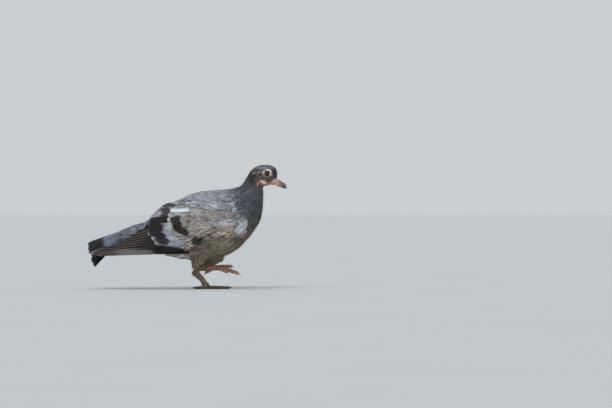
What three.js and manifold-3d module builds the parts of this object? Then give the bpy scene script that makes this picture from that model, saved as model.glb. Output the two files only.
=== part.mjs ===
// A young feral pigeon in mid-stride, life size, in millimetres. It faces +X, its left side is +Y and +Z is
// up. It stands on its right foot and carries its left foot forward. The solids give the outer shape of the
// feathered bird: head, bill, neck, trunk, folded wings, tail, shanks, tarsi, toes and claws.
import * as THREE from "three";
import { mergeVertices } from "three/addons/utils/BufferGeometryUtils.js";
import Module from "manifold-3d";

const wasm = await Module();
wasm.setup();

// ---------- Driving dimensions ----------

const GAP = 0.3; // clearance between neighbouring solids
const AROUND_BODY = 18; // facets round the trunk, neck and head
const RINGS_PER_STATION = 1.5; // rings of facets for each body station
const SMOOTHING = 0.05; // how far a cut surface may be moved to save facets

// Body stations from the rump to the root of the bill: centre x and z, pitch of the body's own axis in
// degrees, half height and half width of the plumage.
const BODY_STATIONS = [
  { x: -94, z: 75.5, pitch: 14, high: 8, wide: 13 },
  { x: -78, z: 75.5, pitch: 9, high: 19, wide: 23 },
  { x: -55, z: 79.5, pitch: 4, high: 33.5, wide: 30 },
  { x: -30, z: 83.5, pitch: 2, high: 42.3, wide: 34.5 },
  { x: -5, z: 86.5, pitch: 3, high: 45.3, wide: 36.5 },
  { x: 17, z: 89.5, pitch: 7, high: 44.5, wide: 37 },
  { x: 32, z: 96.5, pitch: 20, high: 40.5, wide: 35.5 },
  { x: 45, z: 107.5, pitch: 37, high: 33, wide: 30 },
  { x: 56, z: 120.5, pitch: 51, high: 24.8, wide: 22 },
  { x: 62, z: 130, pitch: 59, high: 18.8, wide: 16.5 },
  { x: 64.8, z: 138, pitch: 64, high: 15, wide: 13.8 },
  { x: 67, z: 146.6, pitch: 62, high: 12.8, wide: 12.7 },
  { x: 70.5, z: 153, pitch: 44, high: 13.4, wide: 12.9 },
  { x: 76, z: 157, pitch: 20, high: 13.9, wide: 13 },
  { x: 83, z: 158, pitch: 0, high: 13.3, wide: 12.4 },
  { x: 89.2, z: 157.2, pitch: -12, high: 13, wide: 10.7 },
  { x: 93.8, z: 155.3, pitch: -20, high: 10.3, wide: 8.2 },
  { x: 96.1, z: 153, pitch: -27, high: 5.6, wide: 5.2 },
];
const NECK_FROM = 7.4; // station where the neck leaves the trunk
const HEAD_FROM = 11.2; // station where the head leaves the neck

const EYE = { x: 84.4, y: 8.2, z: 159.6, radius: 5.2 };

// The bill, from its root to its tip, as the lines of its ridge, its cutting edge and its underside.
const BILL_RIDGE = [[94, 154.4], [98.6, 151], [102.8, 148.8], [107.2, 146.8], [110.4, 143.8], [111.7, 138.4]];
const BILL_EDGE = [[89, 147.2], [94, 146.3], [99, 145], [103.4, 143], [107.2, 141.4], [111, 138.2]];
const BILL_UNDER = [[88.5, 144.3], [93, 143.9], [97.8, 142.5], [101.4, 141], [104.6, 139.8], [109.4, 138]];
const BILL_HALF_WIDTH = [6, 5.2, 4, 3, 2.2, 0.7];
const CERE_STATIONS = [
  { x: 94.6, z: 153, high: 2.2, wide: 3.4 },
  { x: 96.8, z: 151.8, high: 2.8, wide: 4.6 },
  { x: 99.7, z: 149.9, high: 2.7, wide: 4.4 },
  { x: 102.3, z: 148.5, high: 2, wide: 3.4 },
  { x: 104.2, z: 147.6, high: 0.8, wide: 1.6 },
];
const CERE_CLEFT = 0.16; // depth of the furrow between the two lobes of the cere, as a share of their height

// Folded wing: stations of the outer face of the wing, from the bend at the front to the tips.
const WING_STATIONS = [
  { x: 64, z: 90, high: 27, wide: 28.5 },
  { x: 42, z: 90, high: 37.5, wide: 38 },
  { x: 15, z: 88, high: 44.5, wide: 42.5 },
  { x: -12, z: 86, high: 47.5, wide: 43.5 },
  { x: -40, z: 80.5, high: 45, wide: 41.5 },
  { x: -62, z: 74.5, high: 41.8, wide: 37.5 },
  { x: -85, z: 62, high: 36.5, wide: 33 },
  { x: -110, z: 47, high: 35, wide: 30.5 },
  { x: -135, z: 38, high: 33, wide: 29.5 },
  { x: -165, z: 35, high: 31, wide: 28.5 },
];
const WING_BELOW = 1.8; // how much flatter the wing is below its widest line than above it
const FAR_TIP_RISE = 9; // the left wing's tip lies this much higher, on the raised side of the tail

// Rows of feathers. Roots and tips are lines seen from the side, from the top of the wing down. Each feather
// has a thickness, is raised by a step over the next one and has a round tip; depth is how far a row lies
// under the wing's outer face. The coverts lie in tiers like shingles, and their front edge is bevelled.
const SHIELD = {
  roots: [[30, 117], [45, 106], [54, 93], [57, 80], [52, 73]],
  tips: [[-26, 113], [-39, 106], [-46, 92], [-42, 79], [-30, 71]],
  feathers: 5, rows: 2, step: 0.35, thick: 6, round: 0.2, depth: 0, tiers: 3, shingle: 0.8, bevel: 4.5,
};
const SECONDARIES = {
  roots: [[-14, 124], [-16, 112], [-14, 90], [-10, 58]],
  tips: [[-50, 118.5], [-63, 113], [-80, 97], [-84, 83], [-74, 66], [-50, 50.5]],
  feathers: 10, rows: 4, step: 0.7, thick: 2.2, round: 0.07, depth: 1.4,
};
const PRIMARIES = {
  roots: [[-46, 92], [-40, 70], [-28, 47.5]],
  tips: [[-96, 71], [-116, 64], [-136, 58], [-156, 54.5], [-160, 50.5], [-140, 46.5]],
  feathers: 8, rows: 3, step: 0.6, thick: 1.4, round: 0.03, depth: 3.4,
};

// The tail: a twisted, arched fan that slopes down behind the rump, wrapped at its root by the tail coverts.
const TAIL = { rootX: -86, rootZ: 91, rootHalf: 9, length: 77.5, slope: 21.5, fan: 17, shorterOutside: 5 };
const TAIL_ARCH = 0.021; // how fast the tail falls away on both sides of its middle
const TAIL_ROLL = 20; // how far the tip of the tail is twisted towards the bird's right, in degrees
const TAIL_ROW = { feathers: 12, rows: 3, step: 0.7, thick: 1.1, round: 0.035 };
const COVERTS_STATIONS = [
  { x: -86, z: 74.5, high: 17.5, wide: 19 },
  { x: -100, z: 74.6, high: 13.2, wide: 18.5 },
  { x: -114, z: 73, high: 9.2, wide: 17 },
  { x: -127, z: 70.6, high: 4.6, wide: 14 },
];

// Legs. The standing foot is set under the middle of the body; the lifted foot hangs ahead of its hock.
const BALL_HEIGHT = 3.1;
const STANDING = { hock: [-16.5, -7, 24.5], ball: [0, 2, BALL_HEIGHT], knee: [-6, -16, 62], bow: 2.4 };
const LIFTED = { hock: [-12, 14, 28], ball: [14, 9, 29.4], knee: [16, 15, 49], bow: 0 };
const SHANK = { kneeRadius: 14, hockRadius: 4.4, bulge: 1.5, squash: 0.8 };
const TARSUS = { radius: 2.7, hockSwelling: 1.25, ballSwelling: 0.95, swellingLength: 0.16 };

// Toes: yaw from straight ahead, and for the lifted foot how steeply each one hangs and how far it is spread.
const TOES = [
  { name: "hind", yaw: 172, length: 12.5, radius: 2, joints: 2, hang: -19, spread: 1 },
  { name: "inner", yaw: -33, length: 18.5, radius: 2.05, joints: 2, hang: -10, spread: 1.35 },
  { name: "middle", yaw: -2, length: 28.3, radius: 2.25, joints: 3, hang: -9, spread: 4 },
  { name: "outer", yaw: 31, length: 20.5, radius: 1.95, joints: 4, hang: 9, spread: 1 },
];
const TOE_TAPER = 0.24;
const TOE_KNUCKLE = 0.09; // how much a toe swells at its joints, as a share of its radius
const FLAT_SOLE = [0.76, 0.48]; // height of a standing toe's middle at the ball and at its tip, in toe radii
const CURL = -3; // each fifth of a lifted toe hangs this much steeper than the one before
const CLAW = { length: 7.5, radius: 1.35, curl: 48, sunk: 1.2, rise: 16 };

// ---------- Materials ----------

const material = (color, roughness) => new THREE.MeshStandardMaterial({ color, roughness, metalness: 0 });
const SLATE_PLUMAGE = material("#4b4c52", 0.85);
const GREY_BROWN_PLUMAGE = material("#857c72", 0.85);
const DUSKY_QUILLS = material("#4a4340", 0.7);
const BLUE_GREY_QUILLS = material("#6d737c", 0.7);
const PINK_SCALES = material("#9c6a61", 0.6);
const PALE_CERE = material("#d8b9b0", 0.6);
const DARK_BILL = material("#5d5a60", 0.4);
const HORN = material("#57504a", 0.45);
const AMBER_EYE = material("#7a4a22", 0.1);

// ---------- Closed surfaces ----------

const vec = (x, y, z) => new THREE.Vector3(x, y, z);
const radians = THREE.MathUtils.degToRad;
const mix = THREE.MathUtils.lerp;

// Welds equal corners of an indexed surface, drops the faces that close up and turns the rest outwards.
function weld(positions, index) {
  const loose = new THREE.BufferGeometry();
  loose.setAttribute("position", new THREE.Float32BufferAttribute(positions, 3));
  loose.setIndex(index);
  const merged = mergeVertices(loose, 1e-3);
  const at = merged.getAttribute("position");
  const corner = (i) => new THREE.Vector3().fromBufferAttribute(at, i);
  const kept = [];
  let volume = 0;
  for (let i = 0; i < merged.index.count; i += 3) {
    const [a, b, c] = [0, 1, 2].map((k) => merged.index.getX(i + k));
    if (a === b || b === c || c === a) continue;
    kept.push([a, b, c]);
    volume += corner(a).dot(corner(b).cross(corner(c)));
  }
  merged.setIndex(kept.flatMap(([a, b, c]) => (volume < 0 ? [a, c, b] : [a, b, c])));
  return merged;
}

// Joins rings of equally many points into a tube and closes both ends.
function loft(rings) {
  const around = rings[0].length;
  const middle = (ring) => ring.reduce((sum, p) => sum.add(p), vec(0, 0, 0)).divideScalar(around);
  const closed = [rings[0].map(() => middle(rings[0])), ...rings, rings[0].map(() => middle(rings.at(-1)))];
  const index = [];
  for (let i = 0; i + 1 < closed.length; i++)
    for (let j = 0; j < around; j++) {
      const [a, b] = [i * around + j, i * around + ((j + 1) % around)];
      index.push(a, b, a + around, b, b + around, a + around);
    }
  return weld(closed.flat().flatMap((p) => p.toArray()), index);
}

// Closes the space between an upper and a lower grid of points of the same size.
function slab(upper, lower) {
  const [rows, columns] = [upper.length, upper[0].length];
  const below = rows * columns;
  const index = [];
  const quad = (a, b, c, d) => index.push(a, b, c, a, c, d);
  const at = (i, j) => i * columns + j;
  for (let i = 0; i + 1 < rows; i++)
    for (let j = 0; j + 1 < columns; j++) {
      quad(at(i, j), at(i, j + 1), at(i + 1, j + 1), at(i + 1, j));
      quad(below + at(i, j), below + at(i + 1, j), below + at(i + 1, j + 1), below + at(i, j + 1));
    }
  for (let i = 0; i + 1 < rows; i++)
    for (const [j, k] of [[0, 1], [columns - 1, -1]]) {
      const [a, b] = k > 0 ? [at(i, j), at(i + 1, j)] : [at(i + 1, j), at(i, j)];
      quad(a, b, below + b, below + a);
    }
  for (let j = 0; j + 1 < columns; j++)
    for (const [i, k] of [[0, -1], [rows - 1, 1]]) {
      const [a, b] = k > 0 ? [at(i, j), at(i, j + 1)] : [at(i, j + 1), at(i, j)];
      quad(a, b, below + b, below + a);
    }
  return weld([...upper.flat(), ...lower.flat()].flatMap((p) => p.toArray()), index);
}

// ---------- Booleans ----------

function solid(geometry) {
  const bare = geometry.clone();
  bare.deleteAttribute("normal");
  bare.deleteAttribute("uv");
  const merged = mergeVertices(bare, 1e-3);
  return new wasm.Manifold(
    new wasm.Mesh({
      numProp: 3,
      vertProperties: merged.attributes.position.array,
      triVerts: new Uint32Array(merged.index.array),
    }),
  );
}

// Cuts the tools out of a shape, keeps the largest piece and merges facets that are almost level.
function cut(geometry, ...tools) {
  let left = solid(geometry);
  for (const tool of tools) left = left.subtract(solid(tool));
  const largest = left.decompose().reduce((a, b) => (a.volume() > b.volume() ? a : b));
  const { vertProperties, triVerts, numProp, numVert } = largest.simplify(SMOOTHING).getMesh();
  const positions = [];
  for (let i = 0; i < numVert; i++) positions.push(...vertProperties.subarray(i * numProp, i * numProp + 3));
  return weld(positions, Array.from(triVerts));
}

// ---------- Body ----------

// A station's value at any place between the stations, on a smooth curve through them.
function valueAt(stations, key, s) {
  const last = stations.length - 1;
  const i = Math.min(Math.floor(s), last - 1);
  const value = (k) => stations[THREE.MathUtils.clamp(k, 0, last)][key];
  const t = s - i;
  const [a, b, c, d] = [value(i - 1), value(i), value(i + 1), value(i + 2)];
  return b + 0.5 * t * (c - a + t * (2 * a - 5 * b + 4 * c - d + t * (3 * (b - c) + d - a)));
}

// A ring of the body, square to its axis, grown by a margin. It is a little wider above than below.
function bodyRing(s, margin = 0) {
  const keys = ["x", "z", "pitch", "high", "wide"];
  const [x, z, pitch, tall, broad] = keys.map((key) => valueAt(BODY_STATIONS, key, s));
  const up = vec(-Math.sin(radians(pitch)), 0, Math.cos(radians(pitch)));
  const [high, wide] = [tall + margin, broad + margin];
  return Array.from({ length: AROUND_BODY }, (_, k) => {
    const turn = (2 * Math.PI * k) / AROUND_BODY;
    const side = wide * (1 + 0.05 * Math.cos(turn)) * Math.sin(turn);
    return vec(x, 0, z).addScaledVector(up, high * Math.cos(turn)).add(vec(0, side, 0));
  });
}

// The rings between two places, always on the same ones so that a grown body follows the real one.
function bodyLength(from, to, margin = 0) {
  const places = [from];
  for (let k = Math.floor(from * RINGS_PER_STATION) + 1; k < to * RINGS_PER_STATION; k++)
    places.push(k / RINGS_PER_STATION);
  return loft([...places, to].map((place) => bodyRing(place, margin)));
}

const lastStation = BODY_STATIONS.length - 1;
const seam = GAP / 20; // half a gap at the neck, in stations
const trunk = bodyLength(0, NECK_FROM - seam);
const trunkWithGap = bodyLength(0, NECK_FROM + 1, GAP);
const neck = bodyLength(NECK_FROM + seam, HEAD_FROM - 2 * seam);
const eyeball = (side, margin = 0) => {
  const ball = new THREE.SphereGeometry(EYE.radius + margin, 12, 7);
  return ball.rotateX(Math.PI / 2).translate(EYE.x, side * EYE.y, EYE.z);
};
const head = cut(bodyLength(HEAD_FROM + 2 * seam, lastStation), eyeball(1, GAP), eyeball(-1, GAP));

// ---------- Bill ----------

const curveThrough = (points) => new THREE.SplineCurve(points.map(([x, z]) => new THREE.Vector2(x, z)));

// A part of the bill between two of its lines, round on the outside and nearly flat inside the mouth.
function billPart(upperLine, lowerLine, { to = 1, margin = 0, roof = 1, floor = 0.15, slim = 1 } = {}) {
  const [top, bottom] = [curveThrough(upperLine), curveThrough(lowerLine)];
  const widths = curveThrough(BILL_HALF_WIDTH.map((width, i) => [i, width]));
  const rings = Array.from({ length: 8 }, (_, i) => {
    const t = (to * i) / 7;
    const [a, b] = [top.getPoint(t), bottom.getPoint(t)];
    const across = a.clone().sub(b);
    const high = across.length() + 2 * margin;
    const up = across.normalize();
    const seat = b.addScaledVector(up, (high * floor) / (roof + floor) - margin);
    return Array.from({ length: 10 }, (_, k) => {
      const turn = (2 * Math.PI * k) / 10;
      const rise = (high / (roof + floor)) * Math.cos(turn) * (Math.cos(turn) > 0 ? roof : floor);
      const wide = widths.getPoint(t).y * slim + margin;
      return vec(seat.x + up.x * rise, wide * Math.sin(turn), seat.y + up.y * rise);
    });
  });
  return loft(rings);
}

const upperBill = (margin = 0) => billPart(BILL_RIDGE, BILL_EDGE, { margin });
const lowerBill = () => {
  const inside = BILL_EDGE.map(([x, z]) => [x - GAP * 0.4, z - GAP]);
  return billPart(inside, BILL_UNDER, { to: 0.93, roof: 0.15, floor: 1, slim: 0.86 });
};

// The cere: two soft lobes side by side over the root of the ridge.
function cereLobes() {
  const [root, , front] = BILL_RIDGE;
  const slope = new THREE.Vector2(root[1] - front[1], front[0] - root[0]).normalize();
  return loft(
    CERE_STATIONS.map(({ x, z, high, wide }) =>
      Array.from({ length: 12 }, (_, k) => {
        const turn = (2 * Math.PI * k) / 12;
        const cleft = k === 0 ? 1 - CERE_CLEFT : 1;
        const rise = high * cleft * Math.cos(turn);
        return vec(x + slope.x * rise, wide * Math.sin(turn), z + slope.y * rise);
      }),
    ),
  );
}

// ---------- Feathers in rows ----------

// Moves the ends of a line of points apart.
function stretch(points, margin) {
  const line = points.map(([a, b]) => new THREE.Vector2(a, b));
  const ends = [[0, 1], [line.length - 1, line.length - 2]].map(([end, next]) =>
    line[end].clone().addScaledVector(line[end].clone().sub(line[next]).normalize(), margin),
  );
  [line[0], line[line.length - 1]] = ends;
  return new THREE.SplineCurve(line);
}

// Overlapping feathers side by side between a line of roots and a line of tips, in one or more tiers. Each
// feather is raised over its neighbour and has a round tip; place puts a point of the pattern in space.
function feathering({ feathers, rows, roots, tips, place, raised, step, thick, round, margin = 0, ...rest }) {
  const { tiers = 1, columns = 3, shingle = 0, bevel = 0 } = rest;
  const [root, tip] = [stretch(roots, margin), stretch(tips, margin)];
  const upper = [];
  const lower = [];
  const end = (tier, share) => (tier + 1 - round * (2 * share - 1) ** 2) / tiers;
  for (let tier = 0; tier < tiers; tier++)
    for (let i = 0; i <= rows; i++) {
      upper.push([]);
      lower.push([]);
      for (let j = 0; j < feathers; j++)
        for (let k = 0; k < columns; k++) {
          const share = k / (columns - 1);
          const [a, b] = [root, tip].map((line) => line.getPoint((j + share) / feathers));
          const grown = (margin / a.distanceTo(b)) * (tier + i === 0 ? -1 : 1);
          const start = tier > 0 ? end(tier - 1, share) : 0;
          const [x, y] = a.lerp(b, mix(start, end(tier, share), i / rows) + grown).toArray();
          const tucked = tier === 0 && i < 2 ? bevel * (1 - i / 1.3) ** 2 : 0;
          const lift = step * raised(share, j / feathers) + (shingle * i) / rows - tucked;
          upper.at(-1).push(place(x, y, lift + margin));
          lower.at(-1).push(place(x, y, -thick - margin));
        }
    }
  return slab(upper, lower);
}

// ---------- Folded wings ----------

// Puts a place seen from the side on the outer face of the folded wing; the left wing's tip is raised.
function wingFace(side, depth) {
  return (x, z, lift) => {
    const past = WING_STATIONS.findIndex((station) => station.x <= x);
    const i = THREE.MathUtils.clamp(past - 1, 0, WING_STATIONS.length - 2);
    const [from, to] = [WING_STATIONS[i].x, WING_STATIONS[i + 1].x];
    const s = i + THREE.MathUtils.clamp((from - x) / (from - to), 0, 1);
    const [middle, high, wide] = ["z", "high", "wide"].map((key) => valueAt(WING_STATIONS, key, s));
    const reach = z > middle ? high : high * WING_BELOW;
    const turn = Math.asin(THREE.MathUtils.clamp((z - middle) / reach, -0.97, 0.97));
    const out = lift - depth;
    const rise = side > 0 ? FAR_TIP_RISE * THREE.MathUtils.smoothstep(-x, 45, 150) : 0;
    return vec(x, side * (wide + out) * Math.cos(turn), middle + (reach + out) * Math.sin(turn) + rise);
  };
}

// A row of wing feathers; each one lies over the next one below it.
const wingRow = (row, side, margin = 0) =>
  feathering({ ...row, margin, place: wingFace(side, row.depth), raised: (share) => share });

// ---------- Tail ----------

// The tail in plan, from its right edge to its left one; its middle feathers lie on top.
function tail(margin = 0) {
  const { rootX, rootZ, rootHalf, length, slope, fan, shorterOutside } = TAIL;
  const tips = Array.from({ length: 9 }, (_, i) => {
    const across = i / 4 - 1;
    const turn = radians(fan * across);
    const reach = length - shorterOutside * across ** 2;
    return [rootX - reach * Math.cos(turn), across * rootHalf + reach * Math.sin(turn)];
  });
  const place = (x, y, lift) => {
    const twist = radians((TAIL_ROLL * (rootX - x)) / length);
    const above = lift - TAIL_ARCH * y * y;
    const across = y * Math.cos(twist) - above * Math.sin(twist);
    const down = (rootX - x) * Math.tan(radians(slope));
    return vec(x, across, rootZ - down + y * Math.sin(twist) + above * Math.cos(twist));
  };
  const roots = [[rootX, -rootHalf], [rootX, 0], [rootX, rootHalf]];
  const raised = (share, along) => (along < 0.5 ? 1 - share : share);
  return feathering({ ...TAIL_ROW, roots, tips, margin, place, raised });
}

// The coverts that wrap the root of the tail, above and below.
const tailCoverts = (margin = 0) =>
  loft(
    COVERTS_STATIONS.map(({ x, z, high, wide }) =>
      Array.from({ length: 14 }, (_, k) => {
        const turn = (2 * Math.PI * k) / 14;
        return vec(x, (wide + margin) * Math.sin(turn), z + (high + margin) * Math.cos(turn));
      }),
    ),
  );

// ---------- Legs ----------

// A round limb along a smooth curve, flat where it meets the floor; overrun moves its last ring further out.
function limb(points, radii, { around = 8, steps = 6, squash = 1, overrun = 0 } = {}) {
  const curve = new THREE.CatmullRomCurve3(points.map((p) => vec(...p)));
  const rings = Array.from({ length: steps + 1 }, (_, i) => {
    const t = i / steps;
    const centre = curve.getPoint(t);
    const forward = curve.getTangent(t);
    if (i === steps) centre.addScaledVector(forward, overrun);
    const across = vec(0, 1, 0).cross(forward).lengthSq() > 0.05 ? vec(0, 1, 0) : vec(1, 0, 0);
    const side = across.addScaledVector(forward, -across.dot(forward)).normalize();
    const up = forward.clone().cross(side);
    const radius = radii(t);
    return Array.from({ length: around }, (_, k) => {
      const turn = (2 * Math.PI * (k + 0.5)) / around;
      const p = centre
        .clone()
        .addScaledVector(side, radius * squash * Math.sin(turn))
        .addScaledVector(up, radius * Math.cos(turn));
      p.z = Math.max(p.z, 0);
      return p;
    });
  });
  return loft(rings);
}

const tarsusRadius = (t) => {
  const near = (distance) => Math.exp(-((distance / TARSUS.swellingLength) ** 2));
  return TARSUS.radius + TARSUS.hockSwelling * near(t) + TARSUS.ballSwelling * near(1 - t);
};

function tarsus({ hock, ball, bow }, margin = 0) {
  const [a, b] = [vec(...hock), vec(...ball)];
  const lower = a.clone().lerp(b, 0.55).add(vec(bow, 0, 0));
  return limb([a.toArray(), lower.toArray(), b.toArray()], (t) => tarsusRadius(t) + margin, { steps: 6 });
}

// The feathered shank from the flank down to the hock.
function shank({ knee, hock }, margin = 0) {
  const [a, b] = [vec(...knee), vec(...hock)];
  const swollen = a.clone().lerp(b, 0.45).add(vec(SHANK.bulge, 0, 0));
  const low = b.clone().lerp(a, 0.06);
  const radius = (t) => mix(SHANK.kneeRadius, SHANK.hockRadius, t ** 0.85) + margin;
  return limb([a.toArray(), swollen.toArray(), low.toArray()], radius, { around: 12, squash: SHANK.squash });
}

// A toe runs from the ball along its yaw; on the floor it lies flat, and in the air it droops and curls.
function toeLine({ yaw, length, radius, hang, spread }, [x, y, z], side, lifted) {
  const turn = radians(side * yaw * (lifted ? spread : 1));
  const points = [vec(x, y, z)];
  const steps = 5;
  for (let i = 0; i < steps; i++) {
    const pitch = radians(lifted ? hang + CURL * i : 0);
    const stride = (length + BALL_HEIGHT) / steps;
    const flat = vec(Math.cos(turn) * Math.cos(pitch), Math.sin(turn) * Math.cos(pitch), Math.sin(pitch));
    const next = points.at(-1).clone().addScaledVector(flat, stride);
    if (!lifted) next.z = radius * mix(...FLAT_SOLE, i / steps);
    points.push(next);
  }
  return points;
}

function toeRadius({ radius, joints }, t) {
  const knuckles = TOE_KNUCKLE * (Math.cos(2 * Math.PI * joints * t) - 0.5);
  return radius * (1 - TOE_TAPER * t) * (1 + knuckles);
}

function toe(kind, foot, side, lifted, margin = 0) {
  const line = toeLine(kind, foot.ball, side, lifted).map((p) => p.toArray());
  return limb(line, (t) => toeRadius(kind, t) + margin, { steps: 7, overrun: margin });
}

// A claw carries on from the toe's tip and curls down to a point.
function claw(kind, foot, side, lifted) {
  const line = toeLine(kind, foot.ball, side, lifted);
  const tip = line.at(-1);
  const forward = tip.clone().sub(line.at(-2)).normalize();
  const level = vec(forward.x, forward.y, 0).normalize();
  const start = Math.asin(forward.z);
  const rise = lifted ? 0 : radians(CLAW.rise);
  const points = [];
  const at = tip.clone().addScaledVector(forward, -CLAW.sunk).add(vec(0, 0, lifted ? 0 : GAP));
  for (let i = 0; i <= 4; i++) {
    points.push(at.toArray());
    const pitch = start + rise - radians((CLAW.curl * i) / 4);
    const along = level.clone().multiplyScalar(Math.cos(pitch));
    at.add(along.add(vec(0, 0, Math.sin(pitch))).multiplyScalar(CLAW.length / 4));
  }
  return limb(points, (t) => CLAW.radius * (1 - 0.88 * t ** 1.3), { around: 6, steps: 4, squash: 0.8 });
}

// ---------- The bird ----------

const bird = new THREE.Group();
const add = (name, geometry, look) => {
  const mesh = new THREE.Mesh(geometry, look);
  mesh.name = name;
  bird.add(mesh);
};

const headWithGap = bodyLength(HEAD_FROM + 1, lastStation, GAP);
add("trunk", cut(trunk, shank(STANDING, GAP), shank(LIFTED, GAP)), GREY_BROWN_PLUMAGE);
add("neck", neck, SLATE_PLUMAGE);
add("head", head, SLATE_PLUMAGE);
add("cere", cut(cereLobes(), upperBill(GAP), headWithGap), PALE_CERE);
add("bill_upper", cut(upperBill(), headWithGap), DARK_BILL);
add("bill_lower", cut(lowerBill(), headWithGap), DARK_BILL);
add("tail_coverts", cut(tailCoverts(), trunkWithGap), BLUE_GREY_QUILLS);
add("tail", cut(tail(), tailCoverts(GAP), trunkWithGap), BLUE_GREY_QUILLS);

const SIDES = [
  { name: "right", side: -1, foot: STANDING, lifted: false },
  { name: "left", side: 1, foot: LIFTED, lifted: true },
];
for (const { name, side, foot, lifted } of SIDES) {
  add(`eye_${name}`, eyeball(side), AMBER_EYE);

  const body = [trunkWithGap, bodyLength(NECK_FROM, NECK_FROM + 3, GAP)];
  const [shield, secondaries] = [SHIELD, SECONDARIES].map((row) => wingRow(row, side, GAP));
  add(`wing_${name}_coverts`, cut(wingRow(SHIELD, side), ...body), GREY_BROWN_PLUMAGE);
  add(`wing_${name}_secondaries`, cut(wingRow(SECONDARIES, side), shield, ...body), DUSKY_QUILLS);
  const above = [secondaries, shield, tail(GAP), tailCoverts(GAP), trunkWithGap];
  add(`wing_${name}_primaries`, cut(wingRow(PRIMARIES, side), ...above), DUSKY_QUILLS);

  add(`shank_${name}`, shank(foot), GREY_BROWN_PLUMAGE);
  add(`tarsus_${name}`, cut(tarsus(foot), shank(foot, GAP)), PINK_SCALES);
  for (const kind of TOES) {
    const others = TOES.slice(0, TOES.indexOf(kind)).map((other) => toe(other, foot, side, lifted, GAP));
    const digit = cut(toe(kind, foot, side, lifted), tarsus(foot, GAP), ...others);
    add(`toe_${name}_${kind.name}`, digit, PINK_SCALES);
    const nail = cut(claw(kind, foot, side, lifted), toe(kind, foot, side, lifted, GAP));
    add(`claw_${name}_${kind.name}`, nail, HORN);
  }
}

// The origin is on the floor, under the middle of the whole bird.
const box = new THREE.Box3().setFromObject(bird);
const middle = box.getCenter(vec(0, 0, 0));
bird.position.set(-middle.x, -middle.y, -box.min.z);

export default bird;
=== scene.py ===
"""A young feral pigeon, life size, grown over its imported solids, with its skin, feathers, eyes and bill."""

import functools
import math

import bpy
import numpy as np
from bpy.props import FloatProperty, FloatVectorProperty, PointerProperty
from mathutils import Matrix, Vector
from mathutils.bvhtree import BVHTree
from mathutils.kdtree import KDTree


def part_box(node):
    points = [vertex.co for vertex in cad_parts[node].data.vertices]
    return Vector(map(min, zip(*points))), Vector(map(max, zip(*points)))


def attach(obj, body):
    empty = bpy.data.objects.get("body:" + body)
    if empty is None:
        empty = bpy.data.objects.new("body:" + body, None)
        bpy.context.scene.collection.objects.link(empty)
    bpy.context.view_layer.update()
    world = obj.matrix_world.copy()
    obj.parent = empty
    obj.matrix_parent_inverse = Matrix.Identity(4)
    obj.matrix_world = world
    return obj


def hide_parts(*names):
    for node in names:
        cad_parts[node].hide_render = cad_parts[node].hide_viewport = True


bl_info = {
    "name": "Young Feral Pigeon",
    "version": (1, 0, 0),
    "blender": (4, 5, 0),
    "location": "View3D > Sidebar > Pigeon",
    "description": "Grows skin, feathers, eyes, bill and claws over the solids of a life-size pigeon",
    "category": "Object",
}

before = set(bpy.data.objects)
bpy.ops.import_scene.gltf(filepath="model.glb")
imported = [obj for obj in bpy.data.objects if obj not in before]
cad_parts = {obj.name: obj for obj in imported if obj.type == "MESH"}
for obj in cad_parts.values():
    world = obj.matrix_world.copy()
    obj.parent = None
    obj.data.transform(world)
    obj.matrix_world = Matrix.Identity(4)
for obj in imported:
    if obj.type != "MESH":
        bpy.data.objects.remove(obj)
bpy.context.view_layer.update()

# ---------- The bird's own measure ----------
# Places on the bird are in millimetres, measured from the ball of its standing foot: x ahead, y to its left,
# z above the floor. The eyes say where that foot's ball lies in the frame.

MM = 0.001
EYE_AHEAD = 84.4
EYE_BOXES = {side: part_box(f"eye_{side}") for side in ("right", "left")}
EYE_MIDDLE = sum((low + high for low, high in EYE_BOXES.values()), Vector()) / 4
BALL = np.array([EYE_MIDDLE.x / MM - EYE_AHEAD, EYE_MIDDLE.y / MM, 0.0])
EYE_RADIUS = (EYE_BOXES["right"][1].z - EYE_BOXES["right"][0].z) / 2 / MM
EYE_OUT = (EYE_BOXES["left"][1].y - EYE_MIDDLE.y) / MM - EYE_RADIUS
EYE = np.array([EYE_AHEAD, EYE_OUT, EYE_MIDDLE.z / MM])
SIDES = {"right": -1, "left": 1}
TOES = ("hind", "inner", "middle", "outer")

# The spine that feathers are ordered by, from the rump to the root of the bill: x, z and pitch in degrees.
SPINE = np.array([
    (-128, 66, 20), (-94, 75.5, 14), (-78, 75.5, 9), (-55, 79.5, 4), (-30, 83.5, 2), (-5, 86.5, 3),
    (17, 89.5, 7), (32, 96.5, 20), (45, 107.5, 37), (56, 120.5, 51), (62, 130, 59), (64.8, 138, 64),
    (67, 146.6, 62), (70.5, 153, 44), (76, 157, 20), (83, 158, 0), (89.2, 157.2, -12), (96, 154, -24),
    (104, 149, -32),
])
NECK, HEAD = 8.5, 12.4  # where along the spine neck and head begin

# Contour feathers at places along the spine: length, half width and spacing in millimetres.
FEATHER_SIZES = np.array([
    (0, 17, 4.2, 3.4), (2, 17, 4.3, 3.0), (4, 15, 3.5, 2.5), (6, 12.5, 2.9, 2.2), (8, 11.5, 2.3, 1.85),
    (10, 10, 1.7, 1.5), (12, 7, 1.15, 1.15), (13.5, 4.6, 0.85, 0.9), (15, 3.8, 0.7, 0.8), (17, 2.6, 0.5, 0.7),
    (18, 2.0, 0.45, 0.7),
])
UNDERSIDE = 0.85  # spacing and width of the hair-like feathers of breast and belly against those above


def unit(vectors):
    """Vectors of length one, along the last axis."""
    return vectors / np.maximum(np.linalg.norm(vectors, axis=-1, keepdims=True), 1e-9)


def ease(low, high, value):
    """0 below low, 1 above high and smooth between them."""
    t = np.clip((np.asarray(value, float) - low) / (high - low), 0, 1)
    return t * t * (3 - 2 * t)


def mix(a, b, t):
    """a where t is 0, b where t is 1."""
    return a + (b - a) * t


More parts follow.
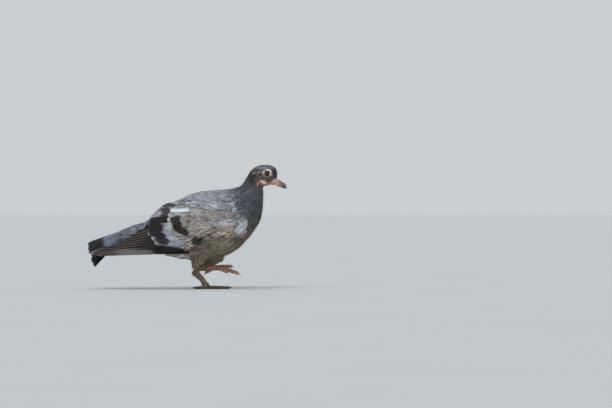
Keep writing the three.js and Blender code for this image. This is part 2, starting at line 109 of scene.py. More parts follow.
def linear(hexadecimal):
    """The linear colour of an sRGB hex value."""
    srgb = np.array([int(hexadecimal[i:i + 2], 16) / 255 for i in (1, 3, 5)])
    return np.where(srgb <= 0.04045, srgb / 12.92, ((srgb + 0.055) / 1.055) ** 2.4)


# Large odd numbers that spread the numbers of neighbouring cells and seeds far apart.
CELL_FACTORS = (73856093, 19349663, 83492791)
SEED_FACTOR, STIR_FACTOR = 2654435761, 1274126177


def grain(places, size, seed):
    """Smooth random values from 0 to 1 with grains of a size in millimetres."""
    grid = places / size
    low = np.floor(grid).astype(np.int64)
    share = ease(0, 1, grid - low)
    total = np.zeros(len(places))
    for corner in np.ndindex(2, 2, 2):
        cell = (low + corner) * CELL_FACTORS
        mixed = cell[:, 0] ^ cell[:, 1] ^ cell[:, 2] ^ (seed * SEED_FACTOR)
        mixed = (mixed ^ (mixed >> 13)) * STIR_FACTOR & 0x7FFFFFFF
        weight = np.prod(np.where(np.array(corner) == 1, share, 1 - share), axis=1)
        total += weight * (mixed % 65536) / 65535
    return total


def inside(x, z, outline):
    """Whether places seen from the side lie inside an outline."""
    within = np.zeros(len(x), bool)
    for (ax, az), (bx, bz) in zip(outline, outline[1:] + outline[:1]):
        crosses = (az > z) != (bz > z)
        within ^= crosses & (x < (bx - ax) * (z - az) / (bz - az + 1e-12) + ax)
    return within


SPINE_STEPS = 240  # stations along the spine that a place is matched to
BATCH = 20000  # places matched at a time


def along_spine(places):
    """The station along the spine of each place, and its turn round the spine, 0 on top and 180 below."""
    stations = np.linspace(0, len(SPINE) - 1, SPINE_STEPS)
    x, z, pitch = (np.interp(stations, np.arange(len(SPINE)), column) for column in SPINE.T)
    ahead = np.stack([np.cos(np.radians(pitch)), np.sin(np.radians(pitch))], axis=1)
    found = np.empty(len(places))
    for start in range(0, len(places), BATCH):
        part = places[start:start + BATCH]
        gap = part[:, None, [0, 2]] - np.stack([x, z], axis=1)[None]
        off = np.abs((gap * ahead).sum(2)) + 0.2 * np.hypot(gap[..., 0], gap[..., 1])
        found[start:start + BATCH] = stations[off.argmin(1)]
    x, z, pitch = (np.interp(found, np.arange(len(SPINE)), column) for column in SPINE.T)
    rise = (places[:, 2] - z) * np.cos(np.radians(pitch)) - (places[:, 0] - x) * np.sin(np.radians(pitch))
    return found, np.degrees(np.arctan2(np.abs(places[:, 1]), rise))


def from_eye(places):
    """How far places are from the middle of the eye, seen from the side."""
    return np.hypot(places[:, 0] - EYE[0], places[:, 2] - EYE[2])


def moved(places, axis, distance):
    """Places moved along one axis."""
    places = places.copy()
    places[:, axis] += distance
    return places


def tilted(ahead, up, length, height, tilt):
    """Distances ahead and up, as shares of the half length and half height of a tilted shape."""
    turn = math.radians(tilt)
    along = (ahead * math.cos(turn) + up * math.sin(turn)) / length
    across = (up * math.cos(turn) - ahead * math.sin(turn)) / height
    return along, across


def as_rows(vectors):
    """An array with a row for each vector."""
    return np.array([tuple(vector) for vector in vectors])


# ---------- Meshes ----------


def read_mesh(thing):
    """A mesh's corners, in the bird's millimetres, and its four-sided or three-sided faces."""
    mesh = thing.data
    flat = np.empty(len(mesh.vertices) * 3)
    mesh.vertices.foreach_get("co", flat)
    loops = np.empty(len(mesh.loops), np.int64)
    mesh.loops.foreach_get("vertex_index", loops)
    totals = np.empty(len(mesh.polygons), np.int64)
    mesh.polygons.foreach_get("loop_total", totals)
    faces = np.split(loops, np.cumsum(totals)[:-1])
    return flat.reshape(-1, 3) / MM - BALL, faces


def write_corners(thing, corners):
    """Moves a mesh's corners to places in the bird's millimetres."""
    thing.data.vertices.foreach_set("co", ((corners + BALL) * MM).ravel())
    thing.data.update()


def edge_pairs(thing):
    """The corners at both ends of each edge."""
    pairs = np.empty(len(thing.data.edges) * 2, np.int64)
    thing.data.edges.foreach_get("vertices", pairs)
    return pairs.reshape(-1, 2)


SMOOTHING = [0.5, -0.52]  # a step in and a slightly longer one out, so that nothing shrinks


def relax(corners, pairs, rounds, weight=1.0):
    """Smooths corners without shrinking them, as far as each one's weight lets it move."""
    start, end = np.concatenate([pairs, pairs[:, ::-1]]).T
    count = np.maximum(np.bincount(start, minlength=len(corners)), 1)[:, None]
    weight = np.broadcast_to(weight, len(corners))[:, None]
    for step in SMOOTHING * rounds:
        total = np.stack([np.bincount(start, column[end], len(corners)) for column in corners.T], axis=1)
        corners = corners + step * weight * (total / count - corners)
    return corners


def smooth_mesh(thing, rounds):
    """Smooths a mesh without shrinking it."""
    write_corners(thing, relax(read_mesh(thing)[0], edge_pairs(thing), rounds))


def corner_normals(thing):
    """The outward direction at each corner of a mesh."""
    flat = np.empty(len(thing.data.vertices) * 3)
    thing.data.vertex_normals.foreach_get("vector", flat)
    return flat.reshape(-1, 3)


def deselect():
    """Leaves nothing selected."""
    if bpy.context.object and bpy.context.object.mode != "OBJECT":
        bpy.ops.object.mode_set(mode="OBJECT")
    bpy.ops.object.select_all(action="DESELECT")


def take(*things):
    """Selects only these, with the first one active."""
    deselect()
    for thing in things:
        thing.select_set(True)
    bpy.context.view_layer.objects.active = things[0]


def copy_nodes(names, name):
    """One mesh of its own from copies of CAD nodes, with its corners merged."""
    copies = []
    for node in names:
        copies.append(bpy.data.objects.new(name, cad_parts[node].data.copy()))
        bpy.context.scene.collection.objects.link(copies[-1])
    take(*copies)
    if len(copies) > 1:
        bpy.ops.object.join()
    made = bpy.context.object
    made.name = made.data.name = name
    made.data.materials.clear()
    bpy.ops.object.mode_set(mode="EDIT")
    bpy.ops.mesh.select_all(action="SELECT")
    bpy.ops.mesh.remove_doubles(threshold=1e-6)
    bpy.ops.object.mode_set(mode="OBJECT")
    return made


def remesh(thing, size):
    """Makes one even skin round a mesh, with cells of a size in millimetres."""
    take(thing)
    shell = thing.modifiers.new("Even cells", "REMESH")
    shell.mode = "VOXEL"
    shell.voxel_size = size * MM
    shell.use_smooth_shade = True
    bpy.ops.object.modifier_apply(modifier=shell.name)


def refine(thing, chosen):
    """Divides the faces whose corners are all chosen."""
    take(thing)
    bpy.ops.object.mode_set(mode="EDIT")
    bpy.ops.mesh.select_mode(type="FACE")
    bpy.ops.mesh.select_all(action="DESELECT")
    bpy.ops.object.mode_set(mode="OBJECT")
    faces = read_mesh(thing)[1]
    wanted = np.array([chosen[face].all() for face in faces])
    thing.data.polygons.foreach_set("select", wanted)
    bpy.ops.object.mode_set(mode="EDIT")
    bpy.ops.mesh.subdivide(number_cuts=1)
    bpy.ops.object.mode_set(mode="OBJECT")


class Form:
    """A surface that feathers lie on, in the bird's millimetres."""

    def __init__(self, thing):
        self.corners, self.faces = read_mesh(thing)
        self.tree = BVHTree.FromPolygons(self.corners.tolist(), [face.tolist() for face in self.faces])

    def nearest(self, places):
        """The nearest place on the surface, and its outward direction."""
        found = [self.tree.find_nearest(place)[:2] for place in places.tolist()]
        return as_rows(place for place, _ in found), as_rows(normal for _, normal in found)

    def first_hits(self, starts, ways):
        """How far a straight line goes from each start to the surface, or nothing where it misses."""
        found = [self.tree.ray_cast(start, way)[3] for start, way in zip(starts.tolist(), ways.tolist())]
        return np.array([np.nan if gap is None else gap for gap in found])


BODY_NODES = ["trunk", "neck", "head", "tail_coverts", "shank_right", "shank_left"]
EYE_NODES = [f"eye_{side}" for side in SIDES]
FORM_CELL, FORM_ROUNDS = 1.0, 14
FILLED = 6.5  # how wide a cleft between wing, breast and thigh the plumage fills on each side, in millimetres
CHIN_SAG, BREAST_PUFF = 2.8, 2.4  # how far feathers hang under the chin and stand out ahead of the breast


def fill_chin(corners):
    """Lets loose skin and feathers hang a little under the root of the bill and the corners of the mouth."""
    x, _, z = corners.T
    sag = CHIN_SAG * np.exp(-((x - 83) / 5.5) ** 2) * (1 - ease(143, 149, z)) * (z > 130)
    return moved(corners, 2, -sag)


def puff_breast(corners):
    """Lets the loose feathers of the breast stand out ahead."""
    x, _, z = corners.T
    return moved(corners, 0, BREAST_PUFF * np.exp(-((z - 96) / 17) ** 2) * ease(48, 70, x))


def filled(corners):
    """How wide a cleft the plumage fills at each corner: wider at the flank and narrower on the head."""
    x, _, z = corners.T
    flank = np.exp(-((x - 20) / 50) ** 4 - ((z - 76) / 27) ** 4)
    return FILLED * (1 - 0.8 * ease(130, 145, z)) * (1 + 0.5 * flank)


@functools.cache
def outer_form():
    """The smooth outside of the feathered bird, without the tail, the wing tips and the bare legs."""
    wings = [f"wing_{side}_{part}" for side in SIDES for part in ("coverts", "secondaries")]
    thing = copy_nodes([*BODY_NODES, "cere", *wings, *EYE_NODES], "outer_form")
    for sign in (1, -1):
        remesh(thing, FORM_CELL)
        smooth_mesh(thing, 3)
        corners = read_mesh(thing)[0]
        write_corners(thing, corners + corner_normals(thing) * (sign * filled(corners))[:, None])
    corners = puff_breast(fill_chin(read_mesh(thing)[0]))
    write_corners(thing, relax(corners, edge_pairs(thing), FORM_ROUNDS))
    form = Form(thing)
    bpy.data.objects.remove(thing)
    return form


# ---------- Markings ----------
# Skin and feathers take their colours from the same places. Zones blend softly into each other; marks lie
# over them with their own edges. Places are seen from the side, in millimetres.

# Zones: name, colour, middle x and z, half length and half height.

ZONES = [
    ("crown", "#777b86", 82, 168, 12, 6), ("forehead", "#50525b", 95, 162, 6, 6),
    ("ear", "#61554f", 72, 158, 9, 7), ("cheek", "#75675e", 80, 150, 7, 5),
    ("nape", "#3a393f", 60, 150, 9, 10), ("throat", "#524b4b", 74, 138, 7, 7),
    ("neck", "#505867", 56, 124, 14, 13), ("neck front", "#45484f", 70, 112, 8, 14),
    ("shoulder neck", "#5f656f", 48, 108, 8, 9), ("breast", "#5f5a55", 66, 88, 9, 10),
    ("low breast", "#7a705f", 52, 68, 12, 9), ("mantle", "#9497a2", -14, 123, 34, 10),
    ("front mantle", "#868b97", 22, 125, 16, 9), ("rump", "#80848e", -72, 104, 16, 9),
    ("coverts", "#8e8889", 12, 100, 20, 11), ("hind coverts", "#8f8882", -22, 92, 14, 11),
    # The belly side, belly, thigh and shank colours in the rows below are lightened beyond the feathers' own:
    # painted light thrown up from the floor under the body.
    ("belly side", "#a89e91", 14, 74, 24, 9), ("belly", "#938873", 18, 55, 24, 8),
    ("flank", "#ada6a0", -14, 76, 10, 12), ("thigh", "#95897a", -8, 52, 14, 9),
    ("shank", "#a08f7a", -6, 36, 12, 10), ("vent", "#cfcfca", -44, 44, 16, 7),
    ("tail base", "#6a6c72", -98, 82, 12, 9), ("under tail", "#77777a", -90, 58, 18, 9),
]
ZONE_PLACES = np.array([zone[2:] for zone in ZONES], float)
ZONE_COLOURS = np.array([linear(zone[1]) for zone in ZONES])


def zone_colour(places):
    """The ground colour of the plumage at places on the bird."""
    away = (places[:, None, [0, 2]] - ZONE_PLACES[None, :, :2]) / ZONE_PLACES[None, :, 2:]
    weight = 1 / (0.05 + (away ** 2).sum(2)) ** 2
    return (weight @ ZONE_COLOURS) / weight.sum(1, keepdims=True)


# Marks: name, colour, middle x and z, half length and half height, tilt in degrees, softness and strength.
MARKS = [
    ("front bar", "#2b2725", -38, 91, 5.5, 9.5, 14, 0.25, 0.95),
    ("front bar foot", "#2a2624", -29, 80, 8.5, 5, -20, 0.3, 0.95),
    ("pale band", "#b9bdc6", 25, 91, 20, 4.6, 3, 0.7, 0.7),
    ("lower coverts", "#7b7268", 14, 81, 28, 4.6, 2, 0.8, 0.6),
    # This pale patch on the belly is painted light thrown up from the floor.
    ("belly, painted floor light", "#cdbc9d", 20, 64, 21, 6.5, -4, 0.8, 0.6),
    ("hind flank", "#8b8070", -27, 61, 8, 10, 0, 0.7, 0.7),
    ("pale shoulder", "#cdd1d9", 49, 84, 8.5, 12.5, -12, 0.6, 0.88),
    ("pale front edge", "#ccd0d8", 39.5, 110, 2.8, 11.5, 24, 0.6, 0.8),
    # The scapular gap's dark line is painted shade in the parting under the scapulars' edge.
    ("scapular gap", "#3f3d44", 27, 120.5, 7, 1.6, -8, 0.5, 0.75),
    ("scapular edge", "#a9adb8", 12, 113.5, 17, 4.2, -4, 0.7, 0.6),
    ("flank spot", "#29241f", -12, 66.5, 7.6, 7, 0, 0.45, 0.95),
    ("flank shade", "#7d7263", 3, 60, 6, 5, 0, 0.7, 0.3),
    ("eyebrow", "#9a9ba0", 83, 167, 9, 1.8, -4, 0.7, 0.5),
    ("forehead patch", "#2f3139", 93.2, 162, 3.4, 4.2, -20, 0.5, 0.8),
    ("ear streak", "#a39a94", 72, 160.5, 6, 0.9, 10, 0.8, 0.6),
    ("low ear streak", "#958a82", 70, 153, 5, 1.0, 20, 0.8, 0.5),
    ("cheek blush", "#94807a", 83.5, 151, 7, 3.4, 0, 0.7, 0.55),
    ("dark cheek", "#4f474a", 86, 149.6, 3, 2.8, 0, 0.7, 0.6),
    ("gape fringe", "#b28373", 76.4, 145, 8.2, 5.6, 0, 0.55, 0.7),
    ("ear spot", "#231e1d", 75, 157.8, 2.8, 2.2, 0, 0.7, 0.75),
    ("hind ear spot", "#2c2728", 67.5, 157, 2.4, 2.2, 0, 0.7, 0.6),
]
MARK_SHIFT = 0.9  # how far the edges of marks wander, in millimetres
MOTTLES = [(5.5, 3, 0.6), (2.4, 5, 0.4)]  # size in millimetres, seed and share of each grain of the mottling


def lay_marks(colours, places, marks):
    """Lays marks over colours where they fall on the places, with uneven edges."""
    uneven = MARK_SHIFT * (2 * grain(places, 2.6, 13) - 1)
    for _, colour, x, z, length, height, tilt, soft, strength in marks:
        ahead, up = places[:, 0] - x + uneven, places[:, 2] - z + uneven * 0.6
        along, across = tilted(ahead, up, length, height, tilt)
        reach = (np.abs(along) ** 3 + np.abs(across) ** 3) ** (1 / 3)
        cover = strength * (1 - ease(1 - soft, 1 + soft * 0.4, reach))
        colours = mix(colours, linear(colour), cover[:, None])
    return colours


def plumage_colour(places):
    """The colour of the plumage at places on the bird, with its marks and mottling."""
    colours = lay_marks(zone_colour(places), places, MARKS)
    mottle = sum(grain(places, size, seed) * share for size, seed, share in MOTTLES)
    return colours * (0.5 + mottle)[:, None]


def banded(first, bands, along):
    """A first colour that turns to each band's colour from its start to its end, by the band's strength."""
    tint = linear(first)
    for colour, start, end, strength in bands:
        tint = mix(tint, linear(colour), (ease(start, end, along) * strength)[..., None])
    return tint


# ---------- Materials ----------


def fill_inputs(tree, node, inputs):
    """Links sockets to a node's inputs and sets its others, from (input, socket or value) pairs."""
    for name, value in inputs:
        if isinstance(value, bpy.types.NodeSocket):
            tree.links.new(value, node.inputs[name])
        else:
            node.inputs[name].default_value = value


def add_node(tree, kind, inputs=(), **settings):
    """Adds a node with its settings, and with its inputs linked or set."""
    node = tree.nodes.new(kind)
    for name, value in settings.items():
        setattr(node, name, value)
    fill_inputs(tree, node, inputs)
    return node


def new_material(name):
    """An empty node material with its shader and output."""
    material = bpy.data.materials.new(name)
    material.use_nodes = True
    tree = material.node_tree
    tree.nodes.clear()
    shader = add_node(tree, "ShaderNodeBsdfPrincipled")
    add_node(tree, "ShaderNodeOutputMaterial", [("Surface", shader.outputs["BSDF"])])
    return material, tree, shader


def rgba(colour):
    """A colour with full alpha."""
    return (*[float(part) for part in colour], 1.0)


MIX_A, MIX_B, MIX_RESULT = 6, 7, 2  # the colour sockets of a Mix node


def toned(tree, colour, pattern, spread, tones):
    """A colour that turns from a darker to a lighter tone where a pattern rises through its spread."""
    tone = add_node(tree, "ShaderNodeMapRange", [
        ("Value", pattern), ("From Min", spread[0]), ("From Max", spread[1]), ("To Min", tones[0]),
        ("To Max", tones[1])])
    mixed = add_node(tree, "ShaderNodeMix", [(0, 1.0), (MIX_A, colour), (MIX_B, tone.outputs[0])],
                     data_type="RGBA", blend_type="MULTIPLY")
    return mixed.outputs[MIX_RESULT]


@functools.cache
def feather_material(name, barb_spacing, slant, contrast, shaft_share, fringe, roughness, sheen):
    """Keratin vanes, grown: matt and faintly silky, with barbs slanting off a thin shaft and a worn rim."""
    material, tree, shader = new_material(name)
    tint = add_node(tree, "ShaderNodeAttribute", attribute_name="tint").outputs["Color"]
    rim = add_node(tree, "ShaderNodeAttribute", attribute_name="rim").outputs["Color"]
    vane = add_node(tree, "ShaderNodeUVMap", uv_map="Vane")
    place = add_node(tree, "ShaderNodeSeparateXYZ", [("Vector", vane.outputs["UV"])])
    side = add_node(tree, "ShaderNodeMath", [(0, place.outputs["X"]), (1, 0.5)], operation="SUBTRACT")
    off_middle = add_node(tree, "ShaderNodeMath", [(0, side.outputs[0])], operation="ABSOLUTE")
    stretches = [(off_middle.outputs[0], 0.34, 0.47), (place.outputs["Y"], 0.3, 0.6),
                 (place.outputs["Y"], 1 - fringe, 1 - fringe / 4)]
    edge, past_root, tip = (
        add_node(tree, "ShaderNodeMapRange", [("Value", value), ("From Min", start), ("From Max", end)],
                 interpolation_type="SMOOTHSTEP").outputs[0] for value, start, end in stretches)
    sides = add_node(tree, "ShaderNodeMath", [(0, edge), (1, past_root)], operation="MULTIPLY")
    border = add_node(tree, "ShaderNodeMath", [(0, sides.outputs[0]), (1, tip)], operation="MAXIMUM")
    rimmed = add_node(tree, "ShaderNodeMix", [(0, border.outputs[0]), (MIX_A, tint), (MIX_B, rim)],
                      data_type="RGBA")
    size = add_node(tree, "ShaderNodeUVMap", uv_map="Barbs")
    reach = add_node(tree, "ShaderNodeSeparateXYZ", [("Vector", size.outputs["UV"])])
    away = add_node(tree, "ShaderNodeMath", [(0, reach.outputs["X"])], operation="ABSOLUTE")
    ahead = add_node(tree, "ShaderNodeMath", [(0, reach.outputs["Y"]), (1, slant)], operation="MULTIPLY")
    slanted = add_node(tree, "ShaderNodeMath", [(0, ahead.outputs[0]), (1, away.outputs[0])],
                       operation="SUBTRACT")
    wave = add_node(tree, "ShaderNodeMath", [(0, slanted.outputs[0]), (1, 2 * math.pi / barb_spacing)],
                    operation="MULTIPLY")
    barb = add_node(tree, "ShaderNodeMath", [(0, wave.outputs[0])], operation="SINE")
    tones = (1 - contrast, 1 + contrast / 2)
    barbed = toned(tree, rimmed.outputs[MIX_RESULT], barb.outputs[0], (-1, 1), tones)
    shaft = add_node(tree, "ShaderNodeMapRange", [
        ("Value", away.outputs[0]), ("From Min", 0.1), ("From Max", 0.28), ("To Min", shaft_share),
        ("To Max", 0.0)])
    shaft_colour = rgba(bpy.context.scene.pigeon_plumage.shaft_colour)
    shafted = add_node(tree, "ShaderNodeMix", [(0, shaft.outputs[0]), (MIX_A, barbed), (MIX_B, shaft_colour)],
                       data_type="RGBA")
    bump = add_node(tree, "ShaderNodeBump", [
        ("Height", barb.outputs[0]), ("Strength", 0.3), ("Distance", 0.1 * MM)])
    fill_inputs(tree, shader, [
        ("Base Color", shafted.outputs[MIX_RESULT]), ("Normal", bump.outputs["Normal"]),
        ("Roughness", roughness), ("Specular IOR Level", 0.12), ("Sheen Weight", sheen),
        ("Sheen Roughness", 0.5)])
    return material


# Real barbs are about 0.2 mm apart. They are drawn coarser, so that they show.
def contour_feather():
    """Contour feathers: soft vanes whose barbs lean well back off the shaft."""
    return feather_material("contour_feather_keratin", 0.45, 0.55, 0.09, 0.2, 0.14, 0.8, 0.06)


def flight_feather():
    """Quill feathers: firm, smoother vanes on a stout shaft."""
    return feather_material("flight_feather_keratin", 0.6, 1.0, 0.07, 0.6, 0.045, 0.65, 0.02)


def fine_feather():
    """Face, neck and belly feathers: hair-like, with barbs almost along them and no shaft that shows."""
    return feather_material("hair_like_feather_keratin", 0.3, 0.12, 0.2, 0.0, 0.14, 0.85, 0.06)


@functools.cache
def skin_material():
    """Living skin, dry and thin: pale and a little moist round eye and bill, scaly and dusty on the legs."""
    material, tree, shader = new_material("dry_bird_skin")
    tint = add_node(tree, "ShaderNodeAttribute", attribute_name="tint").outputs["Color"]
    place = add_node(tree, "ShaderNodeTexCoord").outputs["Object"]
    pores = add_node(tree, "ShaderNodeTexNoise", [("Vector", place), ("Scale", 0.35 / MM), ("Detail", 4.0)])
    wrinkles = add_node(tree, "ShaderNodeTexVoronoi", [("Vector", place), ("Scale", 1.1 / MM)],
                        feature="DISTANCE_TO_EDGE")
    bump = add_node(tree, "ShaderNodeBump", [
        ("Height", wrinkles.outputs["Distance"]), ("Strength", 0.35), ("Distance", 0.12 * MM)])
    fill_inputs(tree, shader, [
        ("Base Color", toned(tree, tint, pores.outputs["Fac"], (0.3, 0.7), (0.78, 1.2))),
        ("Normal", bump.outputs["Normal"]), ("Roughness", 0.58), ("Specular IOR Level", 0.35),
        ("Subsurface Weight", 0.08), ("Subsurface Radius", (1.0, 0.4, 0.25)), ("Subsurface Scale", 1.2 * MM)])
    return material


@functools.cache
def horn_material():
    """Horn of bill and claws, grown in layers: smooth with a low gloss, and fine lines along its length."""
    material, tree, shader = new_material("grown_horn")
    tint = add_node(tree, "ShaderNodeAttribute", attribute_name="tint").outputs["Color"]
    place = add_node(tree, "ShaderNodeTexCoord").outputs["Object"]
    drawn_out = add_node(tree, "ShaderNodeMapping", [("Vector", place), ("Scale", (0.35, 1.0, 1.6))])
    layers = add_node(tree, "ShaderNodeTexNoise", [
        ("Vector", drawn_out.outputs["Vector"]), ("Scale", 0.9 / MM), ("Detail", 3.0)])
    bump = add_node(tree, "ShaderNodeBump", [
        ("Height", layers.outputs["Fac"]), ("Strength", 0.2), ("Distance", 0.1 * MM)])
    fill_inputs(tree, shader, [
        ("Base Color", toned(tree, tint, layers.outputs["Fac"], (0.3, 0.7), (0.8, 1.2))),
        ("Normal", bump.outputs["Normal"]), ("Roughness", 0.38), ("IOR", 1.55)])
    return material


@functools.cache
def eye_material():
    """A wet eye, grown: a black pupil in a streaked brown iris under a clear film that mirrors the lights."""
    material, tree, shader = new_material("wet_cornea")
    tint = add_node(tree, "ShaderNodeAttribute", attribute_name="tint").outputs["Color"]
    place = add_node(tree, "ShaderNodeTexCoord").outputs["Object"]
    fibres = add_node(tree, "ShaderNodeTexNoise", [("Vector", place), ("Scale", 2.6 / MM), ("Detail", 3.0)])
    fill_inputs(tree, shader, [
        ("Base Color", toned(tree, tint, fibres.outputs["Fac"], (0, 1), (0.6, 1.4))), ("Roughness", 0.3),
        ("Specular IOR Level", 0.0), ("Coat Weight", 1.0), ("Coat Roughness", 0.03), ("Coat IOR", 1.34)])
    return material


@functools.cache
def floor_material():
    """Fine pale concrete, floated smooth: matt, with a faint cloudiness."""
    material, tree, shader = new_material("floated_pale_concrete")
    place = add_node(tree, "ShaderNodeTexCoord").outputs["Object"]
    clouds = add_node(tree, "ShaderNodeTexNoise", [("Vector", place), ("Scale", 6.0), ("Detail", 5.0)])
    pale = np.array(bpy.context.scene.pigeon_stage.floor_colour)
    colour = add_node(tree, "ShaderNodeMix", [
        (0, clouds.outputs["Fac"]), (MIX_A, rgba(pale * 0.92)), (MIX_B, rgba(pale))], data_type="RGBA")
    fill_inputs(tree, shader, [("Base Color", colour.outputs[MIX_RESULT]), ("Roughness", 0.9)])
    return material


# ---------- Coats of feathers ----------


def set_colours(thing, name, colours):
    """Stores one colour for each corner of a mesh."""
    layer = thing.data.color_attributes.new(name, "FLOAT_COLOR", "POINT")
    layer.data.foreach_set("color", np.concatenate([colours, np.ones((len(colours), 1))], axis=1).ravel())


def lengths_along(lines):
    """How far along its line each step lies, in millimetres."""
    steps = np.linalg.norm(np.diff(lines, axis=1), axis=2)
    return np.concatenate([np.zeros((len(lines), 1)), np.cumsum(steps, axis=1)], axis=1)


class Coat:
    """Feathers joined into one mesh, each a closed thin vane with its own colours and places on its maps."""

    def __init__(self, name):
        self.name = name
        self.parts = []

    def add_grids(self, top, low, columns, tint, rim, patches):
        """Adds vanes from grids of upper and lower points, as arrays of feather, step and column."""
        count, steps, lane = top.shape[:3]
        across, ahead = top[:, :, 1:] - top[:, :, :-1], np.gradient(top, axis=1)[:, :, :-1]
        if (np.cross(across, ahead) * (top - low)[:, :, :-1]).sum() < 0:
            top, low, columns = top[:, :, ::-1], low[:, :, ::-1], columns[::-1]
            tint, rim = tint[:, :, ::-1], rim[:, :, ::-1]
        turn = np.concatenate([np.arange(lane), np.arange(lane - 2, 0, -1)])
        ring = np.concatenate([top, low[:, :, -2:0:-1]], axis=2)
        shape = (count, steps, len(turn))
        middle = top[:, :, lane // 2]
        reach = np.linalg.norm(top - middle[:, :, None], axis=3)[:, :, turn] * np.sign(columns[turn])
        along = np.broadcast_to(lengths_along(middle)[..., None], shape)
        vane = np.stack([np.broadcast_to((columns[turn] + 1) / 2, shape), along / along[:, -1:]], axis=-1)
        part = {
            "shape": shape,
            "corners": ring.reshape(-1, 3),
            "Vane": vane.reshape(-1, 2),
            "Barbs": np.stack([reach, along], axis=-1).reshape(-1, 2),
            "OFBake": patches(vane).reshape(-1, 2),
        }
        for key, colours in (("tint", tint), ("rim", rim)):
            colours = colours[:, :, turn] if colours.shape[2] > 1 else colours
            part[key] = np.broadcast_to(colours, (*shape, 3)).reshape(-1, 3)
        self.parts.append(part)

    def add_vanes(self, lines, outs, half, columns, camber, thick, tint, rim, patches):
        """Adds vanes from their middle lines, outward directions and half widths."""
        columns = np.array(columns, float)
        way = unit(np.gradient(lines, axis=1))
        across = unit(np.cross(way, outs))
        drop = camber * half[..., None] * columns ** 2
        top = lines[:, :, None] + across[:, :, None] * (half[..., None] * columns)[..., None]
        top = top - outs[:, :, None] * drop[..., None]
        body = thick * (1 - 0.9 * np.abs(columns)) * np.linspace(1, 0.45, half.shape[1])[:, None]
        low = top - outs[:, :, None] * body[None, :, :, None]
        self.add_grids(top, low, columns, tint[:, :, None], rim[:, :, None], patches)

    def build(self, material, slot, *nodes):
        """Makes the mesh, gives it its material and hands it to the frame."""
        loops, sizes, start = [], [], 0
        for part in self.parts:
            count, steps, around = part["shape"]
            index = start + np.arange(count * steps * around).reshape(count, steps, around)
            near, far = index[:, :-1], index[:, 1:]
            walls = np.stack([near, np.roll(near, -1, 2), np.roll(far, -1, 2), far], axis=-1)
            loops += [walls.reshape(-1), index[:, 0, ::-1].reshape(-1), index[:, -1].reshape(-1)]
            sizes += [np.full(walls.size // 4, 4), np.full(2 * count, around)]
            start += count * steps * around
        keys = [key for key in self.parts[0] if key != "shape"]
        whole = {key: np.concatenate([part[key] for part in self.parts]) for key in keys}
        loops, sizes = np.concatenate(loops), np.concatenate(sizes)
        mesh = bpy.data.meshes.new(self.name)
        mesh.vertices.add(start)
        mesh.loops.add(len(loops))
        mesh.polygons.add(len(sizes))
        mesh.loops.foreach_set("vertex_index", loops)
        mesh.polygons.foreach_set("loop_start", np.concatenate([[0], np.cumsum(sizes)[:-1]]))
        mesh.polygons.foreach_set("use_smooth", np.ones(len(sizes), bool))
        piece = bpy.data.objects.new(self.name, mesh)
        bpy.context.scene.collection.objects.link(piece)
        write_corners(piece, whole["corners"])
        for key in ("Vane", "Barbs", "OFBake"):
            mesh.uv_layers.new(name=key).uv.foreach_set("vector", whole[key][loops].ravel())
        for key in ("tint", "rim"):
            set_colours(piece, key, whole[key])
        return finish_piece(piece, material, slot, *nodes)


def finish_piece(piece, material, slot, *nodes):
    """Gives a piece its material and the body it rides on, and hides the nodes it stands for; the slot is not
    used.
    """
    piece.data.materials.clear()
    piece.data.materials.append(material)
    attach(piece, "root")
    if nodes:
        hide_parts(*nodes)
    return piece


TUFT_PATCH = 0.003  # each small feather's share of the bake map
BODY_BAND = (0.28, 0.98)  # the part of the bake map's height that the body takes
SPINE_SHARE = np.concatenate([[0], np.cumsum(np.hypot(*np.diff(SPINE[:, :2], axis=0).T))])
SPINE_SHARE = 0.01 + 0.98 * SPINE_SHARE / SPINE_SHARE[-1]


def body_map(places):
    """Where places lie on the unwrapped body: along the spine, and round it from a seam under the belly."""
    station, turn = along_spine(places)
    round_it = (turn * np.sign(places[:, 1]) + 180) / 360
    return np.stack([np.interp(station, np.arange(len(SPINE)), SPINE_SHARE), round_it], axis=1)


def root_patches(roots):
    """Puts each feather's bake patch where its root lies on the skin's own unwrap."""
    places = body_map(roots)
    places[:, 1] = mix(*BODY_BAND, places[:, 1])
    return lambda vane: places[:, None, None] + (vane - 0.5) * TUFT_PATCH


def strip_patches(lanes):
    """Gives each long feather a strip of its own on the bake map."""

    def patches(vane):
        lane = np.arange(lanes)[:, None, None]
        return np.stack([(lane + 0.04 + 0.92 * vane[..., 0]) / lanes, 0.01 + 0.98 * vane[..., 1]], axis=-1)

    return patches


def leaf(share, base, widest, power):
    """A vane's half width at shares of its length, as a share of the widest."""
    rising = base + (1 - base) * ease(0, widest, share)
    past = np.maximum(share - widest, 0) / (1.001 - widest)
    return np.maximum(rising * np.sqrt(1 - past ** power), 0.06)


# The way from each knee to its hock.
SHANK_WAYS = {"right": np.array([-0.27, 0.22, -0.94]), "left": np.array([-0.75, 0.0, -0.66])}


def lie(places):
    """The way feathers point: back along the spine, and down the shanks."""
    station = along_spine(places)[0]
    pitch = np.radians(np.interp(station, np.arange(len(SPINE)), SPINE[:, 2]))
    back = np.stack([-np.cos(pitch), np.zeros(len(pitch)), -np.sin(pitch)], axis=1)
    down = (1 - ease(41, 48, places[:, 2])) * (places[:, 0] > -30)
    shank = np.where(places[:, 1:2] > 0, SHANK_WAYS["left"], SHANK_WAYS["right"])
    return unit(mix(back, shank, down[:, None]))


